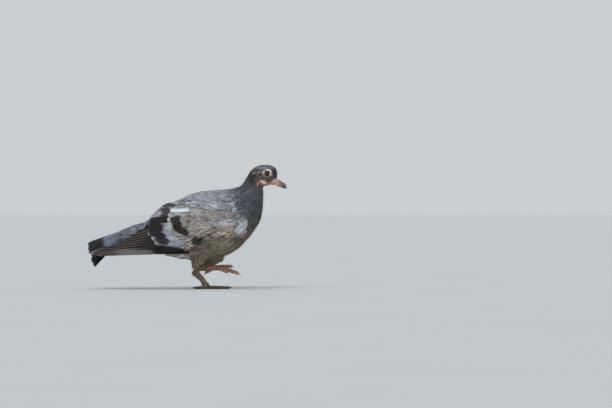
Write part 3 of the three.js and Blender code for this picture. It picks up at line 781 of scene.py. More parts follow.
def lay_lines(form, roots, normals, length, shares, spin, ways=lie):
    """Middle lines that follow a surface from their roots along the lie, and the outward directions there."""
    here, out, way = roots, normals, ways(roots)
    lines, outs = [here], [out]
    for stride in np.diff(shares):
        way = unit(way + np.cross(out, way) * np.tan(spin)[:, None])
        spin = spin * 0.3
        way = unit(way - (way * out).sum(1, keepdims=True) * out)
        here, out = form.nearest(here + way * (length * stride)[:, None])
        lines.append(here)
        outs.append(out)
        way = mix(way, ways(here), 0.4)
    lines, outs = np.stack(lines, axis=1), np.stack(outs, axis=1)
    smooth = outs.copy()
    smooth[:, 1:-1] = outs[:, :-2] + 2 * outs[:, 1:-1] + outs[:, 2:]
    return lines, unit(smooth)


def scatter(form, seed):
    """Roots all over a surface, as far apart as the feathers there are."""
    rng = np.random.default_rng(seed)
    quads = form.corners[np.array([face for face in form.faces if len(face) == 4])]
    station = along_spine(quads.mean(1))[0]
    quads = quads[np.repeat(np.arange(len(quads)), np.where(station > NECK, 4, 1))]
    u, v = rng.random((2, len(quads), 1))
    places = mix(mix(quads[:, 0], quads[:, 1], u), mix(quads[:, 3], quads[:, 2], u), v)
    gaps = feather_size(*along_spine(places))[2]
    tree = KDTree(len(places))
    for number, place in enumerate(places.tolist()):
        tree.insert(place, number)
    tree.balance()
    free = np.ones(len(places), bool)
    kept = []
    for number in rng.permutation(len(places)).tolist():
        if free[number]:
            kept.append(number)
            for _, other, _ in tree.find_range(places[number].tolist(), gaps[number]):
                free[other] = False
    return places[kept]


def feather_size(station, turn):
    """Length, half width and spacing of contour feathers at places along and round the spine."""
    length, half, spacing = (np.interp(station, FEATHER_SIZES[:, 0], FEATHER_SIZES[:, k]) for k in (1, 2, 3))
    below = mix(1, UNDERSIDE, ease(65, 85, turn) * (station < HEAD))
    return length, half * below, spacing * below


# Which solids a root belongs to, by the nearest of these groups.
TRACTS = {
    "body": ["trunk", "neck", "head"],
    "wing": ["wing_right_coverts", "wing_left_coverts"],
    "quills": ["wing_right_secondaries", "wing_left_secondaries"],
    "tail": ["tail_coverts"],
    "shank": ["shank_right", "shank_left"],
    "bare": ["cere", "eye_right", "eye_left"],
}


@functools.cache
def solid_tree(*names):
    """The surface of CAD nodes, to measure distances to."""
    corners, faces = [], []
    for name in names:
        more, of_faces = read_mesh(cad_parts[name])
        faces += [(face + sum(map(len, corners))).tolist() for face in of_faces]
        corners.append(more)
    return BVHTree.FromPolygons(np.concatenate(corners).tolist(), faces)


def away_from(places, *names):
    """How far places are from the surface of CAD nodes, in millimetres."""
    tree = solid_tree(*names)
    return np.array([tree.find_nearest(place)[3] for place in places.tolist()])


# Bare ellipses that no feather grows on: middle x and z (for the first from the eye's), half length and height.
BARE_EYE = (-0.5, 0.2, 8.9, 6.6)
BARE_CHEEK = (77.4, 146.4, 6.6, 4.0)
BARE_LIPS = 1.9  # how far it is bare above and below the line of the mouth


def in_ellipse(x, z, middle_x, middle_z, half_length, half_height):
    """Whether places seen from the side lie in an ellipse."""
    return np.hypot((x - middle_x) / half_length, (z - middle_z) / half_height) < 1


@functools.cache
def feather_roots():
    """All the roots of contour feathers, their outward directions and tracts."""
    form = outer_form()
    roots, normals = form.nearest(scatter(form, 11))
    gaps = np.stack([away_from(roots, *names) for names in TRACTS.values()])
    tract = np.array(list(TRACTS))[gaps.argmin(0)]
    x, y, z = roots.T
    around_eye = in_ellipse(x - EYE[0], z - EYE[2], *BARE_EYE) & (np.abs(y) > 4)
    at_mouth = (x > 77) & (np.abs(z - np.interp(x, *np.array(MOUTH).T)) < BARE_LIPS)
    at_bill = (x > 92.5) & (z < 152) & (z > 142)
    bare_cheek = in_ellipse(x, z, *BARE_CHEEK) & (along_spine(roots)[0] > HEAD)
    keep = (tract != "bare") & ~around_eye & ~at_mouth & ~at_bill & ~bare_cheek
    keep &= away_from(roots, "cere") > 0.6
    return roots[keep], normals[keep], tract[keep]


# How well the steps, the span and the outward directions of a feather that lies flat agree at least.
EVEN, SPANNED, FACING = 0.8, 0.93, 0.35
SHORTER = (1, 0.6, 0.35)  # what is left of a feather's length at each try to lay it


def lies_flat(lines, outs):
    """Whether each feather lies smoothly, without folding into a cleft or round an edge."""
    steps = unit(np.diff(lines, axis=1))
    bend = (steps[:, 1:] * steps[:, :-1]).sum(2).min(1)
    reach = np.linalg.norm(lines[:, -1] - lines[:, 0], axis=1) / lengths_along(lines)[:, -1]
    turned = (outs[:, 0] * outs[:, -1]).sum(1)
    return (bend > EVEN) & (reach > SPANNED) & (turned > FACING)


def lay_feathers(roots, length, shares, spin):
    """Lays feathers on the bird, shorter where they would fold into a cleft, and says which ones lie flat."""
    lines, outs = np.zeros((2, len(roots), len(shares), 3))
    kept = np.zeros(len(roots), bool)
    for share in SHORTER:
        left = ~kept
        if not left.any():
            break
        length[left] *= share
        start, out = outer_form().nearest(roots[left] - lie(roots[left]) * (length[left] * 0.55)[:, None])
        lines[left], outs[left] = lay_lines(outer_form(), start, out, length[left], shares, spin[left])
        kept[left] = lies_flat(lines[left], outs[left])
    return lines, outs, kept


def grow_contours(coat, chosen, seed, form):
    """Grows contour feathers from chosen roots, coloured as the plumage is where their tips show."""
    rng = np.random.default_rng(seed)
    settings = bpy.context.scene.pigeon_plumage
    roots, _, tract = [values[chosen] for values in feather_roots()]
    count, steps = len(roots), form["steps"]
    length, half, _ = feather_size(*along_spine(roots))
    length = length * form["length"] * settings.feather_length * np.clip(rng.normal(1, 0.12, count), 0.7, 1.3)
    half = half * form["width"] * np.clip(rng.normal(1, 0.1, count), 0.75, 1.25)
    share = 1 - (1 - np.linspace(0, 1, steps)) ** form.get("rounded", 1.0)
    lines, outs, kept = lay_feathers(roots, length, share, rng.normal(0, form["turn"], count))
    lines, outs, length, half, roots, tract = (
        values[kept] for values in (lines, outs, length, half, roots, tract))
    count = len(roots)
    over_wing = form.get("over_wing", 0.0) * np.isin(tract, ("wing", "quills"))
    rise = -0.09 * length[:, None] * (1 - share) ** 1.5 + 0.015 * length[:, None] * share ** 2
    rise = rise + over_wing[:, None] * ease(0, 0.5, share)
    rise = rise + np.abs(rng.normal(0, form.get("loose", 0.012), count) * length)[:, None] * share
    lines = lines + outs * rise[..., None]
    worn = 1 + rng.normal(0, settings.fray, (count, steps)) * ease(0.3, 0.8, share)
    width = half[:, None] * leaf(share, 0.3, form.get("widest", 0.6), form["blunt"]) * worn
    shown = plumage_colour(lines[:, int(steps * 0.75)])
    shown = shown * np.clip(rng.normal(1, form.get("streak", 0.15), (count, 1)), 0.4, 1.8)
    # Darker towards the root: partly the down's own darker tone, partly painted shade where the feathers above
    # cover it.
    tint = shown[:, None] * mix(0.72, 1.0, ease(0.1, 0.7, share))[None, :, None]
    rim = np.broadcast_to(mix(shown, linear(form["rim"][0]), form["rim"][1])[:, None], tint.shape)
    thick = 0.035 * half.mean() + 0.07
    coat.add_vanes(lines, outs, width, form["columns"], 0.14, thick, tint, rim, root_patches(roots))


def grow_wisps(coat, form, roots, normals, seed, length, half, colour, strength, loose):
    """Grows hair-like loose barbs on a surface, a little proud of the feathers."""
    rng = np.random.default_rng(seed)
    steps, count = 5, len(roots)
    share = np.linspace(0, 1, steps)
    reach = length * rng.uniform(0.6, 1.4, count)
    lines, outs = lay_lines(form, roots, normals, reach, share, rng.normal(0, 0.35, count))
    rise = -0.4 + (0.8 + length * rng.uniform(0, loose, count) ** 2)[:, None] * share ** 0.8
    lines = lines + outs * rise[..., None]
    width = half * (1 - 0.8 * share)[None] * rng.uniform(0.7, 1.3, (count, 1))
    shown = mix(plumage_colour(roots), linear(colour), strength * rng.uniform(0.4, 1.4, (count, 1)))
    tint = np.repeat(shown[:, None], steps, axis=1)
    coat.add_vanes(lines, outs, width, NARROW_VANE, 0.3, half, tint, tint * 1.1, root_patches(roots))


# ---------- Wings and tail ----------

# Stations of the folded wing's outer face: x, z of its widest line, half height and half width.
WING = np.array([
    (64, 90, 27, 28.5), (42, 90, 37.5, 38), (15, 88, 44.5, 42.5), (-12, 86, 47.5, 43.5),
    (-40, 80.5, 45, 41.5), (-62, 74.5, 41.8, 37.5), (-85, 62, 36.5, 33), (-110, 47, 35, 30.5),
    (-135, 38, 33, 29.5), (-165, 35, 31, 28.5),
])
WING_BELOW = 1.8  # how much flatter the wing is below its widest line than above it
FAR_TIP_RISE = 9  # the left wing's tip lies this much higher


def curve_at(points, place):
    """Places on a smooth curve through evenly numbered points."""
    points = np.asarray(points, float)
    low = np.clip(np.floor(place).astype(int), 0, len(points) - 2)
    t = (place - low)[..., None]
    a, b, c, d = (points[np.clip(low + k, 0, len(points) - 1)] for k in (-1, 0, 1, 2))
    return b + 0.5 * t * (c - a + t * (2 * a - 5 * b + 4 * c - d + t * (3 * (b - c) + d - a)))


def line_at(points, share):
    """Places on a smooth curve at shares of its length, by its points."""
    return curve_at(points, share * (len(points) - 1))


def wing_face(side, x, z, lift):
    """Puts places seen from the side on the outer face of a folded wing."""
    place = np.interp(-x, -WING[:, 0], np.arange(len(WING)))
    _, middle, high, wide = np.moveaxis(curve_at(WING, place), -1, 0)
    reach = np.where(z > middle, high, high * WING_BELOW)
    turn = np.arcsin(np.clip((z - middle) / reach, -0.97, 0.97))
    rise = FAR_TIP_RISE * ease(45, 150, -x) * (side == "left")
    y = SIDES[side] * (wide + lift) * np.cos(turn)
    return np.stack([x, y, middle + (reach + lift) * np.sin(turn) + rise], axis=-1)


# Rows of wing feathers from the lowest to the topmost, with the node each stands for. Roots and tips are
# lines seen from the side, from the top of the wing down. Depth is how far a row lies under the wing's face,
# and step how far a feather's lower edge lies over the next one.
WING_ROWS = {
    "primaries": {
        "node": "primaries", "slot": "dusky_quills",
        "roots": [[-46, 97], [-38, 72], [-20, 48]], "count": 10, "depth": 3.0, "step": 0.6, "thick": 0.28,
        "tips": [[-92, 83], [-110, 72], [-130, 63], [-150, 57], [-161, 52], [-150, 46.6]], "blunt": 2.6,
        "widest": 0.8, "overlap": 2.3,
    },
    "secondaries": {
        "node": "secondaries", "slot": "dusky_quills",
        "roots": [[-14, 121], [-16, 109], [-14, 88], [-20, 56]], "count": 12, "depth": 1.5, "step": 0.5,
        "thick": 0.26, "tips": [[-56, 120.5], [-66, 113], [-79, 98], [-82, 85], [-75, 68.5], [-54, 48.5]],
        "blunt": 5, "widest": 0.66,
    },
    "greater_coverts": {
        "node": "coverts", "slot": "grey_brown_plumage",
        "roots": [[-10, 117], [-6, 108], [-10, 94], [-12, 80], [-10, 70]], "count": 8, "depth": 0.7,
        "step": 0.45, "thick": 0.24, "tips": [[-42, 115], [-50, 107], [-53, 93], [-48, 78], [-36, 70]],
        "blunt": 5, "widest": 0.62,
    },
}
QUILL_COLUMNS = np.array([-1, -0.85, -0.6, -0.3, -0.06, 0.06, 0.3, 0.6, 0.85, 1])

# Grounds of the wing feathers: root half, tip half, rim and how far the rim's colour takes over.
WING_TINTS = {
    "primaries": ("#2b2726", "#1a1717", "#ada298", 0.5),
    "secondaries": ("#8d8c90", "#8d8d94", "#b9bdc6", 0.45),
    "greater_coverts": ("#7f7a78", "#8d8885", "#b5afab", 0.35),
}
WING_MARKS = {
    "primaries": [
        ("outer web", "#746d68", -90, 50, 38, 5.2, -3, 0.4, 0.8),
        # The outer webs darken towards the wing tip.
        ("darker far outer web", "#423a35", -140, 50, 26, 3.2, -3, 0.5, 0.6),
        # The dark strip along the wing's lower edge is painted shadow over the bases of the quills.
        ("painted shadow strip", "#141210", -50, 53, 24, 7.5, -4, 0.3, 0.95),
    ],
    "secondaries": [
        ("pale grey field", "#9a9da4", -36, 68, 16, 13, -20, 0.4, 0.85),
        ("pale gap", "#aeb1b8", -48, 89, 2.6, 10, 8, 0.4, 0.7),
        ("rear bar, top", "#39363a", -57.5, 106.5, 9, 6.5, 16, 0.2, 0.97),
        ("rear bar, second", "#141213", -64.5, 95.3, 16, 5.4, 6, 0.12, 0.98),
        ("rear bar, third", "#121011", -68, 84.8, 14.5, 5.9, -4, 0.12, 0.98),
        ("rear bar, fourth", "#1a181a", -63.5, 75.8, 12.5, 4.6, -14, 0.12, 0.97),
        ("rear bar, foot", "#1f1e23", -57, 67.6, 12, 5.2, -20, 0.2, 0.95),
        ("long tertial", "#3c3839", -52, 116.5, 16, 3.6, -6, 0.35, 0.92),
        # The dark strip along the wing's lower edge is painted shadow over the bases of the quills.
        ("painted shadow strip", "#100e0d", -51, 53, 29, 8, -7, 0.25, 0.98),
    ],
    "greater_coverts": [
        ("pale tip", "#a5a7ae", -38, 103, 10, 4, -20, 0.6, 0.3),
        ("pale gap", "#b2b5bc", -50, 90, 5.5, 13, 8, 0.3, 0.85),
        ("front bar", "#211e1d", -37.2, 91.5, 6.8, 10.5, 12, 0.14, 0.97),
        ("front bar, foot", "#211e1d", -31, 81, 10, 5.4, -26, 0.14, 0.97),
    ],
}
# How much of a rim dark marks keep.
RIM_ON_DARK = {"primaries": 1.0, "secondaries": 0.15, "greater_coverts": 0.1}
WHITE_FEATHER = 1  # the greater covert, counted from the top, that has grown white


def quill_shares(steps):
    """Shares of a quill feather's length, closest together at its rounded tip."""
    return 1 - (1 - np.linspace(0, 1, steps)) ** 1.8


def quill_grids(shares_of, place, row, steps, rng):
    """Upper and lower points of overlapping long feathers, as arrays of feather, step and column."""
    count, columns = row["count"], QUILL_COLUMNS
    share = quill_shares(steps)
    outline = leaf(share, 0.55, row["widest"], row["blunt"])
    worn = 1 + rng.normal(0, 0.012, (count, steps, 2)) * ease(0.35, 0.6, share)[None, :, None]
    width = row.get("overlap", 1.45) * outline[None, :, None] * worn
    width = np.where(columns < 0, width[..., :1], width[..., 1:])
    across = columns * width
    span = (np.arange(count)[:, None, None] + 0.5 + 0.5 * across) / count
    span = np.clip(span, 0, 1)
    reach = share[None, :, None] * rng.uniform(0.955, 1.0, (count, 1, 1))
    x, z = shares_of(span, np.broadcast_to(reach, span.shape))
    lift = row["step"] * (0.5 + 0.5 * across) - row["depth"]
    shaft = 0.16 * np.exp(-(columns / 0.1) ** 2) * (1 - share)[:, None]
    camber = 0.3 * (1 - columns ** 2) * outline[:, None]
    top = place(x, z, lift + camber + shaft)
    body = row["thick"] * (1 - 0.9 * columns ** 4) * np.linspace(1, 0.5, steps)[:, None]
    low = place(x, z, lift + camber - body)
    return top, low


QUILL_STEPS = 30  # places along a wing feather that shape it
FEATHER_SHIFT = 1.9  # how far marks stray ahead or back from feather to feather, in millimetres


def wing_row(side, kind):
    """One row of a folded wing's feathers."""
    row = WING_ROWS[kind]
    coat = Coat(f"{kind}_{side}")
    rng = np.random.default_rng(51)

    def seen_from_side(span, reach):
        root, tip = line_at(row["roots"], span), line_at(row["tips"], span)
        return np.moveaxis(mix(root, tip, reach[..., None]), -1, 0)

    place = functools.partial(wing_face, side)
    top, low = quill_grids(seen_from_side, place, row, QUILL_STEPS, rng)
    ground, end, rim, rim_share = WING_TINTS[kind]
    share = quill_shares(QUILL_STEPS)[None, :, None, None]
    tint = np.broadcast_to(mix(linear(ground), linear(end), ease(0.3, 0.8, share)), top.shape)
    places = top.reshape(-1, 3)
    if side == "left":
        places = places - [0, 0, 1] * (FAR_TIP_RISE * ease(45, 150, -places[:, 0]))[:, None]
    shift = rng.normal(0, FEATHER_SHIFT, (row["count"], 1, 1, 1)) * np.array([1.0, 0.0, 0.0])
    places = (places.reshape(top.shape) + shift).reshape(-1, 3)
    tint = lay_marks(tint.reshape(-1, 3), places, WING_MARKS[kind])
    spread = 0.9 if kind == "greater_coverts" else 0.5
    mottle = 1 + spread * (grain(places * [0.5, 1, 1], 2.6, 7) - 0.5)
    tint = (tint * mottle[:, None]).reshape(top.shape)
    tint = tint * np.clip(rng.normal(1, 0.07, (row["count"], 1, 1, 1)), 0.8, 1.2)
    if kind == "greater_coverts" and side == "right":
        white = np.array(bpy.context.scene.pigeon_plumage.white_colour)
        tint[WHITE_FEATHER] = mix(tint[WHITE_FEATHER], white, ease(0.25, 0.42, share[0]))
    lightness = tint.mean(-1, keepdims=True)
    edge = mix(tint, linear(rim), rim_share * mix(RIM_ON_DARK[kind], 1, ease(0.03, 0.25, lightness)))
    coat.add_grids(top, low, QUILL_COLUMNS, tint, edge, strip_patches(row["count"]))
    return coat.build(flight_feather(), row["slot"], f"wing_{side}_{row['node']}")


TAIL = {"root_x": -86, "root_z": 91, "root_half": 9, "length": 77.5, "slope": 21.5, "fan": 17, "shorter": 5}
TAIL_ARCH = 0.029  # how fast the tail falls away on both sides of its middle
TAIL_ROLL = 30  # how far its tip is twisted towards the bird's right, in degrees
TAIL_ROW = {"count": 12, "depth": 0.2, "step": 0.8, "thick": 0.3, "blunt": 3.4, "overlap": 2.3,
            "widest": 0.82}


def tail_face(x, y, lift):
    """Puts places in the tail's own plan on its sloping, arched and twisted upper face."""
    behind = TAIL["root_x"] - x
    twist = np.radians(TAIL_ROLL * behind / TAIL["length"])
    above = lift - TAIL_ARCH * y * y
    across = y * np.cos(twist) - above * np.sin(twist)
    drop = behind * math.tan(math.radians(TAIL["slope"]))
    z = TAIL["root_z"] - drop + y * np.sin(twist) + above * np.cos(twist)
    return np.stack([x, across, z], axis=-1)


def tail_plan(span, reach):
    """Places in the tail's plan at shares across the fan and along its feathers."""
    across = 2 * span - 1
    turn = np.radians(TAIL["fan"] * across)
    length = (TAIL["length"] - TAIL["shorter"] * across ** 2) * reach
    root = TAIL["root_half"] * across
    return TAIL["root_x"] - length * np.cos(turn), root + length * np.sin(turn)


# Bands along a tail feather: colour, share of its length where each begins and is full, and strength.
TAIL_BANDS = [("#6d7786", 0.2, 0.38, 1.0), ("#1d1b1d", 0.68, 0.76, 0.95), ("#4a464a", 0.955, 0.985, 0.6)]


def tail_tint(top, share):
    """Blue-grey feathers, browner at the root and with a wide dark band before the tip."""
    tint = banded("#666468", TAIL_BANDS, np.broadcast_to(share[None, :, None], top.shape[:3]))
    mottle = 0.8 + 0.4 * grain(top.reshape(-1, 3) * [0.35, 1, 1], 3.0, 9)
    return tint * mottle.reshape(*top.shape[:3], 1)


def grow_tail():
    """The twelve long feathers of the tail, the middle one on top."""
    coat = Coat("tail_feathers")
    rng = np.random.default_rng(41)
    steps, count = 34, TAIL_ROW["count"]

    def place(x, y, lift):
        feather = np.arange(count)[:, None, None]
        flipped = TAIL_ROW["step"] - 2 * TAIL_ROW["depth"] - lift
        out = np.where(feather < count / 2, flipped, lift) + 0.7 * (feather == count // 2)
        return tail_face(x, y, out)

    top, low = quill_grids(tail_plan, place, TAIL_ROW, steps, rng)
    half = np.arange(count) < count / 2
    swapped = np.where(half[:, None, None, None], low, top)
    low = np.where(half[:, None, None, None], top, low)
    tint = tail_tint(swapped, quill_shares(steps))
    lightness = tint.mean(-1, keepdims=True)
    # The outer feathers on the bird's right, which hang below the near wing's tip, are darkened and lose most
    # of their pale rims: painted shadow of the wing.
    painted_wing_shadow = mix(0.3, 1.0, ease(0, 3, np.arange(count)))[:, None, None, None]
    tint = tint * painted_wing_shadow
    rim = mix(tint, linear("#b3b8c0"), 0.35 * painted_wing_shadow * ease(0.0, 0.2, lightness))
    coat.add_grids(swapped, low, QUILL_COLUMNS, tint, rim, strip_patches(count))
    return coat.build(flight_feather(), "blue_grey_quills", "tail")


# ---------- Skin ----------

SKIN_CELL, BARE_CELL, HORN_CELL = 1.5, 0.4, 0.22  # how finely skin, bare parts and horn are meshed at first
FLOOR_GAP = 0.02  # feet and claws lie no lower than this, in millimetres

# How deep the skin lies under the tips of the coat, at stations along the spine, in millimetres.
COAT_DEPTH = np.array([
    (0, 8), (1, 6.5), (2, 4), (4, 4.2), (8, 3.6), (11, 2.2), (12.5, 1.4), (15, 1.0), (17, 0.4), (18, 0.2),
])
LIMB_NODES = [f"{part}_{side}{toe}" for side in SIDES
              for part, toe in [("tarsus", "")] + [("toe", f"_{name}") for name in TOES]]
BARE_NODES = [*LIMB_NODES, "cere"]
HORN_FROM = 96.0  # how far ahead soft skin covers the root of the bill
CUT_LEAN = 0.35  # how much further back that is for each millimetre higher
SOFT_GROWTH = (0.3, -0.45)  # how far it stands out from the horn, and how far it dips in at its front edge


def bill_root():
    """The part of the bill that soft skin covers, a little thicker than the horn."""
    thing = copy_nodes(["bill_upper", "bill_lower"], "bill_root")
    bpy.ops.object.mode_set(mode="EDIT")
    bpy.ops.mesh.select_all(action="SELECT")
    cut = (BALL + [HORN_FROM, 0, MOUTH[-1][1]]) * MM
    bpy.ops.mesh.bisect(
        plane_co=cut, plane_no=(1, 0, CUT_LEAN), use_fill=True, clear_outer=True, threshold=1e-7)
    bpy.ops.object.mode_set(mode="OBJECT")
    corners = read_mesh(thing)[0]
    ahead = corners[:, 0] + CUT_LEAN * (corners[:, 2] - MOUTH[-1][1])
    growth = mix(*SOFT_GROWTH, ease(HORN_FROM - 2.5, HORN_FROM, ahead))
    write_corners(thing, corners + corner_normals(thing) * growth[:, None])
    return thing


@functools.cache
def bare_form():
    """The smooth shape of the parts without feathers: tarsi, toes, cere and the root of the bill."""
    thing = copy_nodes(BARE_NODES, "bare_form")
    take(thing, bill_root())
    bpy.ops.object.join()
    remesh(thing, BARE_CELL)
    write_corners(thing, relax(read_mesh(thing)[0], edge_pairs(thing), 8))
    form = Form(thing)
    bpy.data.objects.remove(thing)
    return form


def bareness(places, near=0.7, far=2.6):
    """1 on the tarsi, toes and cere, 0 away from them."""
    gap = np.array([bare_form().tree.find_nearest(place)[3] for place in places.tolist()])
    return 1 - ease(near, far, gap)


@functools.cache
def limb_axes():
    """The middle and outward direction of each tarsus and toe."""
    axes = {}
    for name in LIMB_NODES:
        corners = read_mesh(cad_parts[name])[0]
        middle = corners.mean(0)
        way = np.linalg.svd(corners - middle, full_matrices=False)[2][0]
        _, side, *toe = name.split("_")
        beyond = f"claw_{side}_{toe[0]}" if toe else f"toe_{side}_middle"
        ahead = read_mesh(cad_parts[beyond])[0].mean(0) - middle
        axes[name] = (middle, way * np.sign(way @ ahead))
    return axes


def nearest_limb(places):
    """The number of the limb that each place is nearest to."""
    return np.argmin([away_from(places, name) for name in LIMB_NODES], axis=0)


SCUTE_PITCH = {"tarsus": 1.9, "toe": 1.5}
SCUTE_HEIGHT = 0.26


def scutes(places, normals):
    """How far the horny plates of the feet stand out, and how near each place is to the end of its plate."""
    limb = nearest_limb(places)
    end = np.zeros(len(places))
    upper = np.zeros(len(places))
    for number, name in enumerate(LIMB_NODES):
        mine = limb == number
        middle, way = limb_axes()[name]
        pitch = SCUTE_PITCH[name.split("_")[0]]
        end[mine] = ((places[mine] - middle) @ way / pitch) % 1
        front = np.array([0.3, 0, 1.0]) if name.startswith("toe") else np.array([1.0, 0, 0.3])
        front = unit(front - way * (front @ way))
        upper[mine] = ease(-0.3, 0.25, normals[mine] @ front)
    plate = SCUTE_HEIGHT * (end ** 0.7 - 1.2 * ease(0.8, 1.0, end) + 0.1)
    pads = 0.3 * (grain(places, 0.9, 21) - 0.5)
    return mix(pads, plate, upper), end * upper


def shape_lids(corners):
    """Raises a wrinkled ring and two thin lids round each eye, and tucks the skin in behind the eyeball."""
    settings = bpy.context.scene.pigeon_face
    sizes = (settings.lid_width, settings.lid_height, settings.ring_width)
    wide, high, ring_end = (size / 2 / MM for size in sizes)
    shaped = corners.copy()
    for sign in SIDES.values():
        near = from_eye(corners) < ring_end + 1
        near &= corners[:, 1] * sign > 3
        place = shaped[near]
        opening = np.hypot((place[:, 0] - EYE[0]) / wide, (place[:, 2] - EYE[2]) / high)
        at_edge = np.abs(opening - 1) < 0.06
        pull = np.where(at_edge, 1 / opening, 1)
        behind = (opening > 0.5) & (opening <= 0.94)
        pull = np.where(behind, 0.985 / opening, pull)
        place[:, 0] = EYE[0] + (place[:, 0] - EYE[0]) * pull
        place[:, 2] = EYE[2] + (place[:, 2] - EYE[2]) * pull
        opening = np.where(at_edge, 1, np.where(behind, 0.5, opening))
        far = from_eye(place)
        ball = EYE_OUT + np.sqrt(np.maximum(EYE_RADIUS ** 2 - far ** 2, 0))
        rim = EYE_OUT + math.sqrt(EYE_RADIUS ** 2 - wide ** 2) + 0.4
        ring = mix(rim, place[:, 1] * sign, ease(wide, ring_end, far))
        turn = np.arctan2(place[:, 2] - EYE[2], place[:, 0] - EYE[0])
        folds = np.cos(2 * math.pi * (opening - 1) / 0.24 + 1.2 * np.sin(5 * turn) + 0.7 * np.sin(9 * turn))
        ring += 0.13 * folds * ease(1.0, 1.15, opening) * (1 - ease(5.8, ring_end, far))
        ring += 0.25 * (grain(place, 0.6, 25) - 0.5) * ease(1.05, 1.2, opening) * (1 - ease(6, ring_end, far))
        ring = np.maximum(ring, ball + 0.2)
        place[:, 1] = sign * mix(ball - 1.2, ring, ease(0.9, 0.995, opening))
        shaped[near] = place
    return shaped


MOUTH = [(76, 144.6), (84, 145.3), (90, 146.2), (95.5, 146.2)]


def shape_mouth(corners):
    """Swells the soft corner of the mouth, with the cleft between its two edges."""
    line_x, line_z = np.array(MOUTH).T
    off = corners[:, 2] - np.interp(corners[:, 0], line_x, line_z)
    along = ease(75, 80, corners[:, 0]) * (1 - ease(95, 97, corners[:, 0]))
    swell = (0.75 * np.exp(-(off / 1.5) ** 2) - 0.8 * np.exp(-(off / 0.35) ** 2)) * along
    swell += 0.8 * np.exp(-((corners[:, 0] - 77.5) / 5.5) ** 2 - ((corners[:, 2] - 146.4) / 3.6) ** 2)
    out = np.sign(corners[:, 1]) * swell * (np.abs(corners[:, 1]) > 2)
    return corners + np.stack([np.zeros(len(out)), out, np.zeros(len(out))], axis=1)


def taper_toes(corners):
    """Draws the end of each toe in round the root of its claw."""
    claws = [f"claw_{side}_{toe}" for side in SIDES for toe in TOES]
    tree = solid_tree(*claws)
    found = [tree.find_nearest(place) for place in corners.tolist()]
    nearest = np.array([tuple(place) for place, *_ in found])
    gap = np.array([distance for *_, distance in found])
    return mix(corners, nearest, (0.75 * (1 - ease(0.2, 1.7, gap)))[:, None])


NOSTRIL = (101.4, 147.4, 2.1, 0.7, -28)  # middle x and z, half length, half height and tilt of the slit


def shape_cere(corners, normals):
    """Cuts the nostril slits under the lobes of the cere, and roughens its dry skin."""
    x, z, length, height, tilt = NOSTRIL
    dx, dz = corners[:, 0] - x, corners[:, 2] - z
    turn = math.radians(tilt)
    across = (dx * math.cos(turn) + dz * math.sin(turn)) / length
    up = (dz * math.cos(turn) - dx * math.sin(turn)) / height
    slit = 0.9 * np.exp(-(across ** 2 + up ** 2) * 1.2) * (np.abs(corners[:, 1]) > 1.5)
    dust = 0.22 * (grain(corners, 0.7, 17) - 0.5) * (corners[:, 0] > 92) * (corners[:, 2] > 146)
    return corners + normals * (dust - slit)[:, None]


# Bare and thinly feathered skin of the face, in the same form as the plumage's marks.
FACE_MARKS = [
    ("lores", "#cda391", 92.5, 149.2, 7.5, 4.8, -26, 0.5, 0.95),
    ("chin", "#c89c8a", 93, 143.6, 8.5, 2.6, -3, 0.5, 0.92),
    ("orbital ring", "#8c7c72", 84.0, 159.2, 8.0, 6.5, 0, 0.3, 1.0),
    ("ring, upper", "#e6dfd8", 86.6, 164.0, 5.0, 2.0, -24, 0.6, 0.97),
    ("ring, front", "#d9bbb0", 89.4, 158.2, 2.4, 4.6, 20, 0.5, 0.85),
    ("ring, behind", "#cdbfb5", 79.8, 161.5, 1.6, 3.0, -24, 0.7, 0.55),
    ("ring, under", "#b99c8f", 85, 154.6, 4.5, 1.2, 4, 0.7, 0.5),
    ("lid edge", "#6a4b42", 84.4, 159.7, 3.45, 4.1, 0, 0.08, 0.9),
    ("gape", "#ffdacb", 77.6, 146.2, 7.6, 4.6, 4, 0.45, 0.95),
    ("mouth edge", "#c9826a", 91, 145.9, 10, 1.1, 3, 0.5, 0.85),
    ("cere", "#c2a09c", 99.4, 150, 6.4, 3.4, -32, 0.2, 0.95),
    ("cere, worn", "#dccac6", 98, 151.4, 4, 1.6, -34, 0.6, 0.6),
    # The nostril's dark is painted shade in the slit under the cere's lobe.
    ("nostril", "#3a2b29", 101.4, 147.4, 2.4, 0.8, -28, 0.4, 0.95),
]
# The standing foot's dark skin is painted shade under the body.
STANDING_FOOT_SHADE, LIFTED_SKIN, SCALE_EDGE = linear("#3b332d"), linear("#a87c70"), linear("#b9a092")
TARSUS_SKIN = linear("#685549")
LEG_TOP = 40  # the bare legs lie lower than this
FOOT_GROWTH = 0.8  # how much thicker dust, dry flakes and matted strands make the feet, in millimetres


def skin_colour(corners, normals):
    """The skin's colours: the plumage's own under the coat, pink where it is bare, and dark brown on the
    standing foot, darkest at the toes, as painted shade under the body.
    """
    colours = plumage_colour(corners) * 0.75
    face = corners[:, 0] > 70
    colours[face] = lay_marks(colours[face], corners[face], FACE_MARKS)
    legs = (corners[:, 2] < LEG_TOP) & (corners[:, 0] > -40)
    legs[legs] = bareness(corners[legs], 0.9, 2.2) > 0.02
    places = corners[legs]
    _, end = scutes(places, normals[legs])
    lifted = nearest_limb(places) >= len(LIMB_NODES) // 2
    # The standing foot is dark brown, darkest towards the floor: painted shade under the body.
    standing = mix(STANDING_FOOT_SHADE, TARSUS_SKIN, ease(4, 12, places[:, 2])[:, None])
    bare = mix(standing, LIFTED_SKIN, lifted[:, None])
    dirt = grain(places, 1.8, 23)
    bare = bare * (0.55 + 0.8 * dirt)[:, None]
    dusty = 0.22 * ease(0.6, 0.85, end) * mix(0.3, 1.0, ease(4, 9, places[:, 2]))
    bare = mix(bare, SCALE_EDGE, dusty[:, None])
    bare = bare * (1 - 0.5 * ease(0.88, 0.98, end))[:, None]
    colours[legs] = mix(colours[legs], bare, bareness(places, 0.9, 2.2)[:, None])
    return colours


